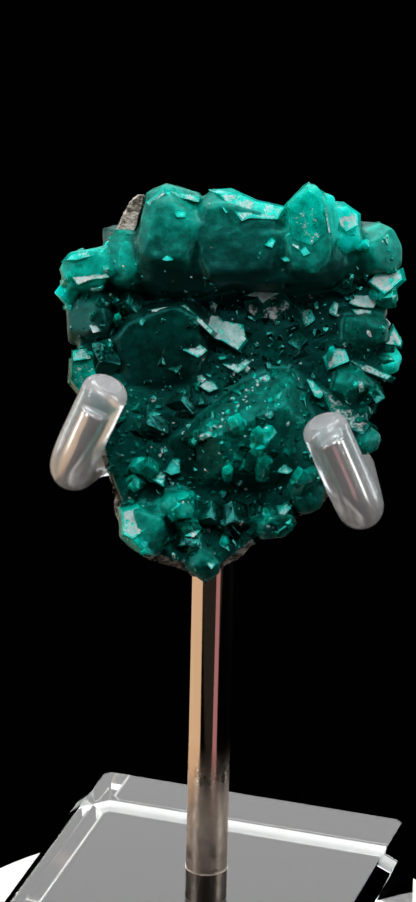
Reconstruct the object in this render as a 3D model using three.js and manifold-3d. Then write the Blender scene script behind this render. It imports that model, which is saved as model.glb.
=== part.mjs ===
// A group of dioptase crystals on its piece of host rock, held by two bent arms on a post in a clear block.
// Millimetres, +Z up, +X to the right of someone looking at the crystals, origin under the block's middle.
import * as THREE from 'three';
import { ConvexGeometry } from 'three/addons/geometries/ConvexGeometry.js';
import { mergeVertices } from 'three/addons/utils/BufferGeometryUtils.js';
import Module from 'manifold-3d';

const wasm = await Module();
wasm.setup();

// Driving dimensions
const GAP = 0.3;
const BASE = { side: 29.5, height: 10, bevel: 1.1, corner: 1.2, yaw: -17 };
const POST = { radius: 1.75, foot: 3.5, top: 58.4, edge: 0.35, sides: 24 };
const WIRE = { radius: 0.75, sides: 8 };
const SLEEVE = { outer: 1.88, bore: 1.05, tipRounding: 0.6, sides: 12, start: 4.5 };
const ARM = { height: 48.3, steps: 28 };
const STONE = { place: [1, -8, 58], leanBack: 24, roll: -1.27 };
const CRUST = { back: -1.2, front: 0.3 };
const ROCK = { front: -1.5, middle: -3.2, back: -5.2 };

const toRadians = THREE.MathUtils.degToRad;

// The stone has a frame of its own: across to the right, height along its face, out towards the viewer.
const stoneFrame = new THREE.Matrix4()
  .makeTranslation(...STONE.place)
  .multiply(new THREE.Matrix4().makeRotationX(-toRadians(STONE.leanBack)))
  .multiply(new THREE.Matrix4().makeRotationY(toRadians(STONE.roll)));

function stonePoint(across, height, out) {
  return new THREE.Vector3(across, -out, height);
}

function onStand(across, height, out) {
  return stonePoint(across, height, out).applyMatrix4(stoneFrame);
}

// Outline of the stone seen from the front, as across and height, clockwise from the left.
const OUTLINE = [
  [-13.6, 7.4], [-13.2, 10.1], [-10.8, 10.8], [-9.7, 12.7], [-8.2, 13.3], [-7, 15.4], [-4.8, 15.9],
  [-2.2, 15.2], [0, 15.6], [2.4, 14.6], [4.4, 14.2], [6.3, 15.8], [8.2, 15], [10.1, 13.7], [12.4, 13],
  [13.7, 11], [13.8, 8], [13.1, 5.8], [13.8, 3.2], [12.4, 0], [11.7, -2.4], [11.9, -4.6], [10.6, -6.2],
  [7.7, -8.9], [6.6, -10.4], [4.8, -11.8], [2.6, -12.6], [0.4, -14.2], [-2.1, -16], [-4.2, -14.9],
  [-6.6, -14.1], [-8.6, -12.6], [-9.1, -10.2], [-10, -7.8], [-10.8, -5], [-11.8, -2], [-12.7, 0.6],
  [-12.9, 4.5],
];
const OUTLINE_MIDDLE = [0.3, 1.2];

// The outline moved towards the stone's middle by a distance in millimetres.
function insetOutline(distance) {
  return OUTLINE.map(([across, height]) => {
    const point = new THREE.Vector2(across - OUTLINE_MIDDLE[0], height - OUTLINE_MIDDLE[1]);
    point.setLength(point.length() - distance);
    return [point.x + OUTLINE_MIDDLE[0], point.y + OUTLINE_MIDDLE[1]];
  });
}

// Large crystals: place of the tip, direction of the long axis, half width, stretch upwards, turn, length.
const LARGE_CRYSTALS = [
  { tip: [-4.7, 12.2, 6.4], axis: [-0.05, 0.28, 1], radius: 2.75, stretch: 1.4, turn: 30, length: 9 },
  { tip: [-0.2, 11.6, 5.4], axis: [0.05, 0.2, 1], radius: 2.5, stretch: 1.55, turn: 24, length: 8 },
  { tip: [2.9, 10.9, 4.8], axis: [0.1, 0.15, 1], radius: 2.1, stretch: 1.4, turn: 35, length: 7.5 },
  { tip: [12.2, 11.3, 3.6], axis: [0.35, 0.3, 1], radius: 2.1, stretch: 1, turn: 10, length: 6 },
  { tip: [9.2, 10.2, 3.2], axis: [0.2, 0.1, 1], radius: 1.7, stretch: 1.2, turn: 50, length: 6 },
  { tip: [6.6, 9.6, 3.6], axis: [-0.1, -0.1, 1], radius: 2.2, stretch: 1.1, turn: 15, length: 6 },
  { tip: [3, 6.5, 3], axis: [0, 0.4, 1], radius: 2, stretch: 0.9, turn: 20, length: 6 },
  { tip: [-8.6, 9.4, 3.2], axis: [-0.3, 0.2, 1], radius: 2, stretch: 1.2, turn: 40, length: 6 },
  { tip: [-12.6, 8, 1.7], axis: [-0.6, 0.1, 1], radius: 1.4, stretch: 1.2, turn: 5, length: 4 },
  { tip: [-10, 11.4, 1.6], axis: [-0.5, 0.5, 1], radius: 1.1, stretch: 1.2, turn: 25, length: 4 },
  { tip: [-8.4, 6.4, 3], axis: [-0.2, 0.1, 1], radius: 1.5, stretch: 1, turn: 12, length: 5 },
  { tip: [-10.4, 3.4, 2.6], axis: [-0.35, 0, 1], radius: 1.9, stretch: 1.1, turn: 44, length: 5 },
  { tip: [-6.4, -3.4, 2.6], axis: [-0.2, -0.05, 1], radius: 1.9, stretch: 1, turn: 33, length: 5 },
  { tip: [-7.3, -7.2, 2.7], axis: [-0.3, -0.15, 1], radius: 1.5, stretch: 1, turn: 8, length: 5 },
  { tip: [-4.3, -9.6, 3.2], axis: [-0.1, -0.2, 1], radius: 1.8, stretch: 0.9, turn: 52, length: 5 },
  { tip: [-6.6, -12.5, 2.3], axis: [-0.35, -0.5, 1], radius: 1.9, stretch: 1, turn: 18, length: 4.5 },
  { tip: [-2.6, -13, 2.2], axis: [-0.1, -0.55, 1], radius: 1.8, stretch: 1.1, turn: 28, length: 4.5 },
  { tip: [0.6, -10.6, 2.9], axis: [0.1, -0.25, 1], radius: 1.8, stretch: 1, turn: 38, length: 5 },
  { tip: [3.6, -10.2, 2.6], axis: [0.25, -0.4, 1], radius: 1.7, stretch: 1, turn: 3, length: 5 },
  { tip: [6.2, -8.6, 2.4], axis: [0.4, -0.35, 1], radius: 1.6, stretch: 1, turn: 48, length: 4.5 },
  { tip: [9.2, -0.6, 2.6], axis: [0.3, 0, 1], radius: 2, stretch: 1.1, turn: 27, length: 5 },
  { tip: [11, -3.8, 1.6], axis: [0.6, -0.2, 1], radius: 1.5, stretch: 1.1, turn: 14, length: 4 },
  { tip: [11.3, 4.2, 2.4], axis: [0.4, 0.05, 1], radius: 1.6, stretch: 1.1, turn: 36, length: 4.5 },
  { tip: [12.9, 2.2, 1.6], axis: [0.7, -0.1, 1], radius: 1.1, stretch: 1, turn: 22, length: 3.5 },
  { tip: [5.8, 2.2, 2], axis: [0.05, 0.1, 1], radius: 1.7, stretch: 1, turn: 41, length: 4.5 },
  { tip: [2.2, -3.6, 6.2], axis: [0.1, 0.55, 1], radius: 0.75, stretch: 1.4, turn: 12, length: 3 },
  { tip: [2.9, -6, 5.2], axis: [0.25, 0.35, 1], radius: 0.65, stretch: 1.2, turn: 31, length: 3 },
  { tip: [5.8, -7.3, 4], axis: [0.3, 0.3, 1], radius: 0.75, stretch: 1.1, turn: 45, length: 3 },
];

// Blocky crystals seen square on: corners of the front face, how far out it is, and which way it faces.
const FACED_CRYSTALS = [
  { corners: [[-1.2, 15.5], [0.1, 15.6], [2.2, 14.7], [4.1, 14.1], [3.6, 13.3], [1.3, 13.2], [0, 14.2]],
    out: 3.9, faces: [0.1, 0.75, 1], depth: 5 },
  { corners: [[4.5, 13.9], [5.8, 15.6], [6.4, 15.9], [7.5, 15.4], [7.8, 11.8], [5.8, 11.1], [4.7, 11.6]],
    out: 5.2, faces: [-0.05, 0.15, 1], depth: 7 },
  { corners: [[7.4, 15.4], [8.2, 15], [8.3, 11.6], [7.7, 11.6]],
    out: 4.6, faces: [0.9, 0.1, 1], depth: 6 },
  { corners: [[8.5, 14.3], [9.7, 14], [10.1, 13.5], [10.2, 11.1], [9, 10.8], [8.5, 11.8]],
    out: 3.6, faces: [0.3, 0.35, 1], depth: 5 },
  { corners: [[11.2, 8.4], [12.2, 9.3], [13.4, 9.3], [13.8, 8.5], [12.5, 7.3]],
    out: 2.6, faces: [0.2, 0.35, 1], depth: 4 },
  { corners: [[9.7, 7.3], [10.7, 7.6], [11.9, 7], [11.3, 5.7], [10, 5.9]],
    out: 3.3, faces: [0.1, 0.35, 1], depth: 5 },
  { corners: [[7.2, 6.4], [8.3, 6.9], [8.7, 6.5], [8.5, 5.4], [7.4, 5.8]],
    out: 2.9, faces: [0, 0.35, 1], depth: 4 },
  { corners: [[-2.2, 5.1], [-1.5, 6], [0.8, 4.7], [1.1, 3.7], [0.7, 3.1], [-0.9, 3.8]],
    out: 2.9, faces: [0.05, 0.4, 1], depth: 4 },
  { corners: [[-3.9, 2.8], [-2.6, 3.2], [-1.8, 2.9], [-2.5, 2.2]],
    out: 3.3, faces: [0, 0.4, 1], depth: 4 },
  { corners: [[-0.4, 1.7], [1, 1.9], [2.3, 2.6], [1.7, 1.6], [0.7, 1.1]],
    out: 2.8, faces: [0.1, 0.35, 1], depth: 4 },
  { corners: [[-2.4, 0], [-1.9, 0.5], [-1.2, 0.4], [-1, -0.2], [-1.7, -0.5]],
    out: 3, faces: [0, 0.4, 1], depth: 4 },
  { corners: [[-5.8, 6.2], [-3.7, 6.3], [-2.3, 5.1], [-2.7, 1.4], [-5, -0.3], [-7.9, 0.5], [-8.4, 3.6]],
    out: 3.2, faces: [-0.1, -0.35, 1], depth: 5 },
  { corners: [[-12.6, 8.3], [-9.7, 8.4], [-9.7, 10.4], [-12, 10.3], [-13.1, 9.7]],
    out: 2.4, faces: [-0.2, 0.25, 1], depth: 4 },
  { corners: [[-13, 6.4], [-10.4, 7.4], [-9.6, 5.2], [-10.8, 3.6], [-12.8, 3.7]],
    out: 2.1, faces: [-0.4, -0.2, 1], depth: 4 },
  { corners: [[-12.7, 2.7], [-11.1, 2.4], [-10.6, 0.4], [-12, -0.5], [-12.7, 0.6]],
    out: 1.5, faces: [-0.3, 0.1, 1], depth: 3 },
  { corners: [[7.5, 1.6], [7.6, 2.7], [8.3, 3], [9.3, 2.9], [9.7, 1.9], [8, 1.4]],
    out: 3, faces: [0.1, 0.35, 1], depth: 4 },
  { corners: [[12.3, 3.4], [13, 4.7], [13.7, 3.6], [13.7, 2.7], [12.8, 2.6]],
    out: 1.6, faces: [0.35, 0.1, 1], depth: 3 },
  { corners: [[-3.2, -4.7], [-0.5, -2.2], [1.8, -0.2], [4.2, 0.8], [5.6, -0.6], [5.7, -4.5], [3, -7.4],
    [-0.6, -8], [-3.1, -6.8]],
    out: 4.3, faces: [0.05, 0.12, 1], depth: 6 },
  { corners: [[-8.7, -10], [-7.5, -9.6], [-6, -11], [-7.6, -12.2], [-8.7, -11.7]],
    out: 2.4, faces: [-0.15, 0.3, 1], depth: 4 },
  { corners: [[-5.2, -6.9], [-4.6, -5.9], [-3.9, -5.8], [-4, -7], [-4.7, -7.2]],
    out: 3.4, faces: [0, 0.4, 1], depth: 4 },
  { corners: [[-6.3, -7.5], [-5.6, -6.9], [-5.2, -7.2], [-5.3, -8.1]],
    out: 3.2, faces: [0.05, 0.35, 1], depth: 3.5 },
  { corners: [[6.1, 0.4], [6.6, 0.3], [7.5, -0.6], [7.2, -1.1], [6.7, -0.9]],
    out: 3.2, faces: [0.1, 0.35, 1], depth: 4 },
  { corners: [[7.6, -0.9], [8.6, -1.2], [10.9, -3.3], [10.4, -3.6], [8.6, -2.6]],
    out: 2.6, faces: [0.2, 0.3, 1], depth: 4 },
];
const FACED_ROOT_SPREAD = 1.35;

// Small crystals that fill the face and the rim.
const FILL = { count: 46, radius: 1.25, out: 1.7, length: 3.4, goldenTurn: 137.5, reach: 16, lean: 0.5 };
const RIM = { radius: 1.1, inset: 0.75, length: 2.6, forward: 0.75, reach: 0.55, lean: 0.8 };

// Dioptase: a six-sided prism whose end faces slope away from the tip by this much for each unit sideways.
const END_SLOPE = 1.22;
const SIDES = 6;

function hexCrystal({ tip, axis, radius, stretch = 1, turn = 0, length }) {
  const points = [new THREE.Vector3(0, 0, 0)];
  for (let side = 0; side < SIDES; side += 1) {
    const angle = toRadians(turn + side * 60);
    const across = Math.cos(angle) * radius;
    const up = Math.sin(angle) * radius * stretch;
    const drop = END_SLOPE * radius * (side % 2 === 0 ? 1 : 0.5);
    points.push(new THREE.Vector3(across, up, -drop));
    points.push(new THREE.Vector3(across, up, -length));
  }
  const axisInStone = stonePoint(...axis).normalize();
  const up = new THREE.Vector3(0, 0, 1);
  const across = new THREE.Vector3().crossVectors(up, axisInStone).normalize();
  const upright = new THREE.Vector3().crossVectors(axisInStone, across);
  const place = new THREE.Matrix4().makeBasis(across, upright, axisInStone).setPosition(stonePoint(...tip));
  return new ConvexGeometry(points.map((point) => point.applyMatrix4(place)));
}

function facedCrystal({ corners, out, faces, depth }) {
  const middle = corners.reduce((sum, [across, height]) => [sum[0] + across, sum[1] + height], [0, 0])
    .map((total) => total / corners.length);
  const points = [];
  for (const [across, height] of corners) {
    const rise = (faces[0] * (across - middle[0]) + faces[1] * (height - middle[1])) / faces[2];
    points.push(stonePoint(across, height, out - rise));
    const rootAcross = middle[0] + (across - middle[0]) * FACED_ROOT_SPREAD;
    const rootHeight = middle[1] + (height - middle[1]) * FACED_ROOT_SPREAD;
    points.push(stonePoint(rootAcross, rootHeight, out - depth));
  }
  return new ConvexGeometry(points);
}

// A closed geometry as a solid that can be joined and cut.
function solidOf(geometry) {
  const bare = geometry.clone();
  bare.deleteAttribute('normal');
  bare.deleteAttribute('uv');
  const merged = mergeVertices(bare, 1e-4);
  const index = merged.index.array;
  const triangles = [];
  for (let i = 0; i < index.length; i += 3) {
    const [a, b, c] = [index[i], index[i + 1], index[i + 2]];
    if (a !== b && b !== c && c !== a) triangles.push(a, b, c);
  }
  const mesh = new wasm.Mesh({
    numProp: 3,
    vertProperties: new Float32Array(merged.attributes.position.array),
    triVerts: new Uint32Array(triangles),
  });
  return new wasm.Manifold(mesh);
}

function geometryOf(solid) {
  const mesh = solid.getMesh();
  const geometry = new THREE.BufferGeometry();
  geometry.setAttribute('position', new THREE.BufferAttribute(new Float32Array(mesh.vertProperties), 3));
  geometry.setIndex(new THREE.BufferAttribute(new Uint32Array(mesh.triVerts), 1));
  geometry.computeVertexNormals();
  return geometry;
}

function joined(geometries) {
  return geometries.map(solidOf).reduce((whole, piece) => whole.add(piece));
}

// The body that is left when the slivers that a cut leaves beside it are dropped.
function largestPiece(solid) {
  return solid.decompose().reduce((largest, body) => (body.volume() > largest.volume() ? body : largest));
}

// Whether a point of the face lies inside an outline.
function inside(outline, across, height) {
  let crossings = 0;
  outline.forEach(([x1, y1], i) => {
    const [x2, y2] = outline[(i + 1) % outline.length];
    const spans = y1 > height !== y2 > height;
    if (spans && across < x1 + ((height - y1) / (y2 - y1)) * (x2 - x1)) crossings += 1;
  });
  return crossings % 2 === 1;
}

// Crystals in a sunflower pattern over the face, leaning further outwards towards the edge.
function fillCrystals() {
  const room = insetOutline(FILL.radius);
  const crystals = [];
  for (let i = 0; i < FILL.count; i += 1) {
    const angle = toRadians(i * FILL.goldenTurn);
    const distance = FILL.reach * Math.sqrt((i + 0.5) / FILL.count);
    const across = OUTLINE_MIDDLE[0] + Math.cos(angle) * distance;
    const height = OUTLINE_MIDDLE[1] + Math.sin(angle) * distance;
    if (!inside(room, across, height)) continue;
    const lean = FILL.lean * (distance / FILL.reach);
    const leanAcross = Math.cos(angle) * lean + 0.2 * Math.sin(i * 1.7);
    const leanUp = Math.sin(angle) * lean + 0.2 * Math.cos(i * 1.3);
    crystals.push(hexCrystal({
      tip: [across, height, FILL.out + 0.5 * Math.sin(i * 2.4)],
      axis: [leanAcross, leanUp, 1],
      radius: FILL.radius * (1 + 0.25 * Math.sin(i * 3.1)),
      turn: i * 17,
      length: FILL.length,
    }));
  }
  return crystals;
}

// Crystals that stand along the rim and point outwards.
function rimCrystals() {
  return insetOutline(RIM.inset).map(([across, height], i) => {
    const outwards = new THREE.Vector2(across - OUTLINE_MIDDLE[0], height - OUTLINE_MIDDLE[1]).normalize();
    const tipAcross = across + outwards.x * RIM.reach;
    const tipHeight = height + outwards.y * RIM.reach;
    return hexCrystal({
      tip: [tipAcross, tipHeight, RIM.forward + 0.35 * Math.sin(i * 2.1)],
      axis: [outwards.x * RIM.lean, outwards.y * RIM.lean, 1],
      radius: RIM.radius * (1 + 0.15 * Math.sin(i * 1.9)),
      turn: i * 23,
      length: RIM.length,
    });
  });
}

function outlineSlab(outline, back, front) {
  const shape = new THREE.Shape(outline.map(([across, height]) => new THREE.Vector2(across, height)));
  const slab = new THREE.ExtrudeGeometry(shape, { depth: front - back, bevelEnabled: false });
  return slab.translate(0, 0, back).rotateX(Math.PI / 2);
}

// The host rock: a slab that narrows to a rounded back, with a ridge that reaches forward at the upper left.
function rockBody(growth) {
  const rings = [
    { inset: 0.15, out: ROCK.front + growth },
    { inset: 1, out: ROCK.middle },
    { inset: 4.2, out: ROCK.back },
  ];
  const points = rings.flatMap(({ inset, out }) => insetOutline(inset - growth)
    .map(([across, height], i) => stonePoint(across, height, out + (growth ? 0 : 0.15 * Math.sin(i * 2.7)))));
  return new ConvexGeometry(points);
}

function rockRidge(growth) {
  const corners = [[-9.3, 12.1], [-8.5, 11.6], [-7.5, 12.4], [-6.9, 14.6], [-7.1, 15.3], [-8.1, 13.5]];
  const middle = [-7.9, 13.2];
  const points = corners.flatMap(([across, height]) => {
    const direction = new THREE.Vector2(across - middle[0], height - middle[1]);
    direction.setLength(direction.length() + growth);
    return [
      stonePoint(middle[0] + direction.x, middle[1] + direction.y, 2.2 + growth),
      stonePoint(middle[0] + direction.x, middle[1] + direction.y, ROCK.front - 1.2),
    ];
  });
  return new ConvexGeometry(points);
}

function rockSolid(growth) {
  return joined([rockBody(growth), rockRidge(growth)]);
}

function crystalGeometry() {
  const crust = outlineSlab(insetOutline(0.7), CRUST.back, CRUST.front);
  const whole = joined([
    crust,
    ...LARGE_CRYSTALS.map(hexCrystal),
    ...FACED_CRYSTALS.map(facedCrystal),
    ...fillCrystals(),
    ...rimCrystals(),
  ]);
  const behind = new THREE.BoxGeometry(60, 20, 60).translate(0, 10 - CRUST.back, 0);
  return geometryOf(largestPiece(whole.subtract(solidOf(behind)).subtract(rockSolid(GAP))));
}

function baseGeometry() {
  const half = BASE.side / 2 - BASE.bevel;
  const cut = half - BASE.corner;
  const shape = new THREE.Shape([
    [-cut, -half], [cut, -half], [half, -cut], [half, cut],
    [cut, half], [-cut, half], [-half, cut], [-half, -cut],
  ].map(([x, y]) => new THREE.Vector2(x, y)));
  const block = new THREE.ExtrudeGeometry(shape, {
    depth: BASE.height - 2 * BASE.bevel,
    bevelThickness: BASE.bevel,
    bevelSize: BASE.bevel,
    bevelSegments: 1,
  }).translate(0, 0, BASE.bevel);
  const depth = BASE.height - POST.foot + GAP;
  const bore = new THREE.CylinderGeometry(POST.radius + GAP, POST.radius + GAP, depth + 1, POST.sides)
    .rotateX(Math.PI / 2)
    .translate(0, 0, BASE.height - depth / 2 + 0.5);
  return geometryOf(solidOf(block).subtract(solidOf(bore)));
}

function postGeometry() {
  const profile = [
    [0, POST.foot], [POST.radius - POST.edge, POST.foot], [POST.radius, POST.foot + POST.edge],
    [POST.radius, POST.top - POST.edge], [POST.radius - POST.edge, POST.top], [0, POST.top],
  ].map(([x, y]) => new THREE.Vector2(x, y));
  const rod = new THREE.LatheGeometry(profile, POST.sides).rotateX(Math.PI / 2);
  const holeRadius = WIRE.radius + GAP;
  const hole = new THREE.CylinderGeometry(holeRadius, holeRadius, POST.radius * 4, 16)
    .rotateZ(Math.PI / 2)
    .translate(0, 0, ARM.height);
  return geometryOf(solidOf(rod).subtract(solidOf(hole)));
}

// A line through corner points with each inner corner rounded.
function bentLine({ corners, bends }) {
  const path = new THREE.CurvePath();
  let from = corners[0];
  for (let i = 1; i < corners.length - 1; i += 1) {
    const corner = corners[i];
    const bend = bends[i - 1];
    const before = corner.clone().lerp(corners[i - 1], bend / corner.distanceTo(corners[i - 1]));
    const after = corner.clone().lerp(corners[i + 1], bend / corner.distanceTo(corners[i + 1]));
    path.add(new THREE.LineCurve3(from, before));
    path.add(new THREE.QuadraticBezierCurve3(before, corner, after));
    from = after;
  }
  path.add(new THREE.LineCurve3(from, corners[corners.length - 1]));
  return path;
}

// The part of a path between two distances from its start.
function stretchOf(path, from, to) {
  const length = path.getLength();
  const count = 60;
  const points = [];
  for (let i = 0; i <= count; i += 1) {
    points.push(path.getPointAt(Math.min(1, (from + ((to - from) * i) / count) / length)));
  }
  return new THREE.CatmullRomCurve3(points);
}

function roundSection(radius, sides) {
  const corners = [];
  for (let i = 0; i < sides; i += 1) {
    const angle = (i / sides) * Math.PI * 2;
    corners.push(new THREE.Vector2(Math.cos(angle) * radius, Math.sin(angle) * radius));
  }
  return corners;
}

// Each arm: the corners of its middle line, how far each corner is rounded, and the tube's length past the wire.
const ARMS = {
  left: {
    corners: [
      new THREE.Vector3(-0.4, 0, ARM.height),
      new THREE.Vector3(-10, -0.1, ARM.height),
      onStand(-13.05, -7.12, 1.2),
      onStand(-9.57, 0.03, 6.2),
    ],
    bends: [3.2, 4.5],
    wireEnd: 2.6,
  },
  right: {
    corners: [
      new THREE.Vector3(0.4, 0, ARM.height),
      new THREE.Vector3(11, -0.1, ARM.height),
      onStand(10.6, -10.45, 1.8),
      onStand(7.2, -2.9, 6.3),
    ],
    bends: [3.2, 3.2],
    wireEnd: 1.6,
  },
};

function sweptRod(path, from, to, radius, sides) {
  const section = new THREE.Shape(roundSection(radius, sides));
  return new THREE.ExtrudeGeometry(section, { steps: ARM.steps, extrudePath: stretchOf(path, from, to) });
}

function wireGeometry(arm) {
  const path = bentLine(arm);
  return sweptRod(path, 0, path.getLength() - arm.wireEnd, WIRE.radius, WIRE.sides);
}

// The rounded closed end of a sleeve, looking along the end of its path.
function sleeveTip(path) {
  const face = SLEEVE.outer - SLEEVE.tipRounding;
  const halfway = SLEEVE.tipRounding * Math.SQRT1_2;
  const profile = [
    [0, -SLEEVE.tipRounding * 2],
    [SLEEVE.outer, -SLEEVE.tipRounding * 2],
    [SLEEVE.outer, -SLEEVE.tipRounding],
    [face + halfway, -SLEEVE.tipRounding + halfway], [face, 0], [0, 0],
  ].map(([x, y]) => new THREE.Vector2(x, y));
  const tip = new THREE.LatheGeometry(profile, SLEEVE.sides);
  const turn = new THREE.Quaternion().setFromUnitVectors(new THREE.Vector3(0, 1, 0), path.getTangentAt(1));
  const end = path.getPointAt(1);
  return tip.applyQuaternion(turn).translate(end.x, end.y, end.z);
}

function sleeveGeometry(arm) {
  const path = bentLine(arm);
  const length = path.getLength();
  const outside = sweptRod(path, SLEEVE.start, length - SLEEVE.tipRounding * 1.5, SLEEVE.outer, SLEEVE.sides);
  const bore = sweptRod(path, SLEEVE.start - 0.5, length - arm.wireEnd + GAP, SLEEVE.bore, SLEEVE.sides);
  return geometryOf(joined([outside, sleeveTip(path)]).subtract(solidOf(bore)));
}

function material(color, roughness, metalness = 0) {
  return new THREE.MeshStandardMaterial({ color, roughness, metalness });
}

const DIOPTASE = material('#0d7a66', 0.12);
const HOST_ROCK = material('#8a7d6e', 0.85);
const ACRYLIC = material('#dfe6e8', 0.05);
const POLISHED_METAL = material('#c9b7a3', 0.15, 1);
const SOFT_TUBE = material('#e6ecec', 0.2);

function piece(name, geometry, finish) {
  const mesh = new THREE.Mesh(geometry, finish);
  mesh.name = name;
  return mesh;
}

const stone = new THREE.Group();
stone.applyMatrix4(stoneFrame);
stone.add(piece('dioptase_crystals', crystalGeometry(), DIOPTASE));
stone.add(piece('matrix_rock', geometryOf(rockSolid(0)), HOST_ROCK));

const stand = new THREE.Group();
const baseBlock = piece('base_block', baseGeometry(), ACRYLIC);
baseBlock.rotation.z = toRadians(BASE.yaw);
stand.add(baseBlock);
stand.add(piece('post', postGeometry(), POLISHED_METAL));
for (const [side, arm] of Object.entries(ARMS)) {
  stand.add(piece(`arm_wire_${side}`, wireGeometry(arm), POLISHED_METAL));
  stand.add(piece(`arm_sleeve_${side}`, sleeveGeometry(arm), SOFT_TUBE));
}

const specimen = new THREE.Group();
specimen.add(stand);
specimen.add(stone);

export default specimen;
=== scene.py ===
"""A dioptase specimen on its stand: green crystals on host rock, held by two sleeved arms on a metal post.

Shapes are modelled in millimetres, a thousand times their size here, and brought to metres at the end.
The stone has a frame of its own: across to the right, height along its face, and out towards the viewer.
"""
import math
import random

import bmesh
import bpy
from mathutils import Matrix, Vector
from mathutils.bvhtree import BVHTree


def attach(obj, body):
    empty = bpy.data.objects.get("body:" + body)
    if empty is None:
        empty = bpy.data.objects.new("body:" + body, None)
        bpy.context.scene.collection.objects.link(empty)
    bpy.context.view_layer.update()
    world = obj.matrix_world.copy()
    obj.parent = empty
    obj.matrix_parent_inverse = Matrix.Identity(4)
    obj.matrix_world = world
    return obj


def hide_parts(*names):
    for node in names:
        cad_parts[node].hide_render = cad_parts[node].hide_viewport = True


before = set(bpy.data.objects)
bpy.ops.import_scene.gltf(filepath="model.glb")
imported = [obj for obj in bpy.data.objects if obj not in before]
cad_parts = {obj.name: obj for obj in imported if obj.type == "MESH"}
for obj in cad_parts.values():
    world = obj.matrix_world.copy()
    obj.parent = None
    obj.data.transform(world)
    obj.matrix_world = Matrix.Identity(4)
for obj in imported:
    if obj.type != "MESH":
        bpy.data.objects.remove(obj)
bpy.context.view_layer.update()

MM = 0.001
GAP = 0.3
STONE_PLACE = (1, -8, 58)
LEAN_BACK = math.radians(24)
ROLL = math.radians(-1.27)
LEAN = Matrix.Rotation(-LEAN_BACK, 4, "X") @ Matrix.Rotation(ROLL, 4, "Y")
STONE = Matrix.Translation(STONE_PLACE) @ LEAN
# Distances that clear the whole stone, towards the viewer and to the side.
IN_FRONT = 20
BESIDE = 30

BASE = {"side": 29.5, "height": 10, "bevel": 1.1, "corner": 1.2, "fine_edge": 0.12, "yaw": math.radians(-17)}
POST = {"radius": 1.75, "foot": 3.5, "top": 58.4, "edge": 0.35}
WIRE_RADIUS = 0.75
SLEEVE = {"outer": 1.88, "bore": 0.73, "rounding": 1.0, "start": 4.5}
ARM_HEIGHT = 48.3
CRUST = {"back": -1.2, "front": 1.0, "bare": 0.15}
# The host rock: how far each ring of its side lies in from the outline, and how far out it is.
ROCK_RINGS = [(0.1, -1.5), (0.35, -2.3), (1.0, -3.2), (2.4, -4.4), (4.2, -5.2)]

# Dioptase: a six-sided prism with three end faces, each this many degrees from square to the long axis.
END_ANGLE = math.radians(50.65)


def stone_point(across, height, out):
    """A point of the stone's own frame, on axes with x across, y away from the viewer and z up the face."""
    return Vector((across, -out, height))


def on_stand(across, height, out):
    return STONE @ stone_point(across, height, out)


# Camera and light

CAMERA_DISTANCE = 420
PIXELS_PER_MM = 12.5
PICTURE = (416, 902)
PICTURE_MIDDLE = (-1.76, -5.28)
LONG_SIDE_MM = 36


def make_camera():
    data = bpy.data.cameras.new("camera")
    camera = bpy.data.objects.new("camera", data)
    bpy.context.collection.objects.link(camera)
    level_view = Matrix.Rotation(math.pi / 2, 4, "X")
    place = Matrix.Translation(on_stand(*PICTURE_MIDDLE, CAMERA_DISTANCE) * MM)
    camera.matrix_world = place @ LEAN @ level_view
    data.lens = CAMERA_DISTANCE * PIXELS_PER_MM / PICTURE[1] * LONG_SIDE_MM
    data.sensor_width = LONG_SIDE_MM
    data.clip_start = 0.01
    data.clip_end = 10
    bpy.context.scene.camera = camera


def make_light(name, bearing, rise, distance, size, watts, colour=(1, 1, 1)):
    """A soft light aimed at the stone, from a bearing off the viewer's side and a rise in degrees."""
    data = bpy.data.lights.new(name, "AREA")
    data.shape = "RECTANGLE"
    data.size, data.size_y = size[0] * MM, size[1] * MM
    data.energy = watts
    data.color = colour
    light = bpy.data.objects.new(name, data)
    bpy.context.collection.objects.link(light)
    round_about, up = math.radians(bearing), math.radians(rise)
    level = Vector((math.sin(round_about), -math.cos(round_about), 0))
    towards = level * math.cos(up) + Vector((0, 0, math.sin(up)))
    light.location = (Vector(STONE_PLACE) + towards * distance) * MM
    light.rotation_euler = (-towards).to_track_quat("-Z", "Y").to_euler()
    light.visible_camera = False


def make_lights():
    make_light("key", 0, 66, 300, (120, 110), 0.5)
    make_light("overhead", 10, 88, 320, (200, 160), 0.27)
    make_light("top_rim", 180, 62, 300, (220, 110), 0.6)
    make_light("left_warm", -106, -26, 300, (560, 260), 0.36, (1, 0.68, 0.42))
    make_light("right_pink", 31, -26, 320, (110, 200), 0.03, (1, 0.42, 0.44))
    make_light("front_low", 0, -24, 300, (700, 160), 0.008, (1, 0.8, 0.62))
    make_light("left_soft", -72, 22, 310, (70, 300), 0.6, (0.97, 0.99, 1))
    make_light("right_soft", 76, 22, 310, (70, 300), 0.6, (0.97, 0.99, 1))
    make_light("left_edge", -118, -3, 300, (90, 180), 0.2, (0.92, 0.98, 1))
    make_light("right_edge", 118, -3, 300, (90, 180), 0.22, (0.92, 0.98, 1))
    make_light("back_soft", 180, 24, 360, (300, 120), 0.35)


def make_world():
    """A nearly black room, shown in plain colours so that the greens stay full."""
    world = bpy.data.worlds.new("room")
    world.use_nodes = True
    world.node_tree.nodes["Background"].inputs["Color"].default_value = (0.0004, 0.0004, 0.0004, 1)
    bpy.context.scene.world = world
    bpy.context.scene.view_settings.view_transform = "Standard"


# Modelling helpers


def select_none():
    if bpy.context.mode != "OBJECT":
        bpy.ops.object.mode_set(mode="OBJECT")
    bpy.ops.object.select_all(action="DESELECT")


def pick(piece):
    select_none()
    piece.select_set(True)
    bpy.context.view_layer.objects.active = piece


def edit_all(piece):
    pick(piece)
    bpy.ops.object.mode_set(mode="EDIT")
    bpy.ops.mesh.select_all(action="SELECT")


def object_mode():
    bpy.ops.object.mode_set(mode="OBJECT")


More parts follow.
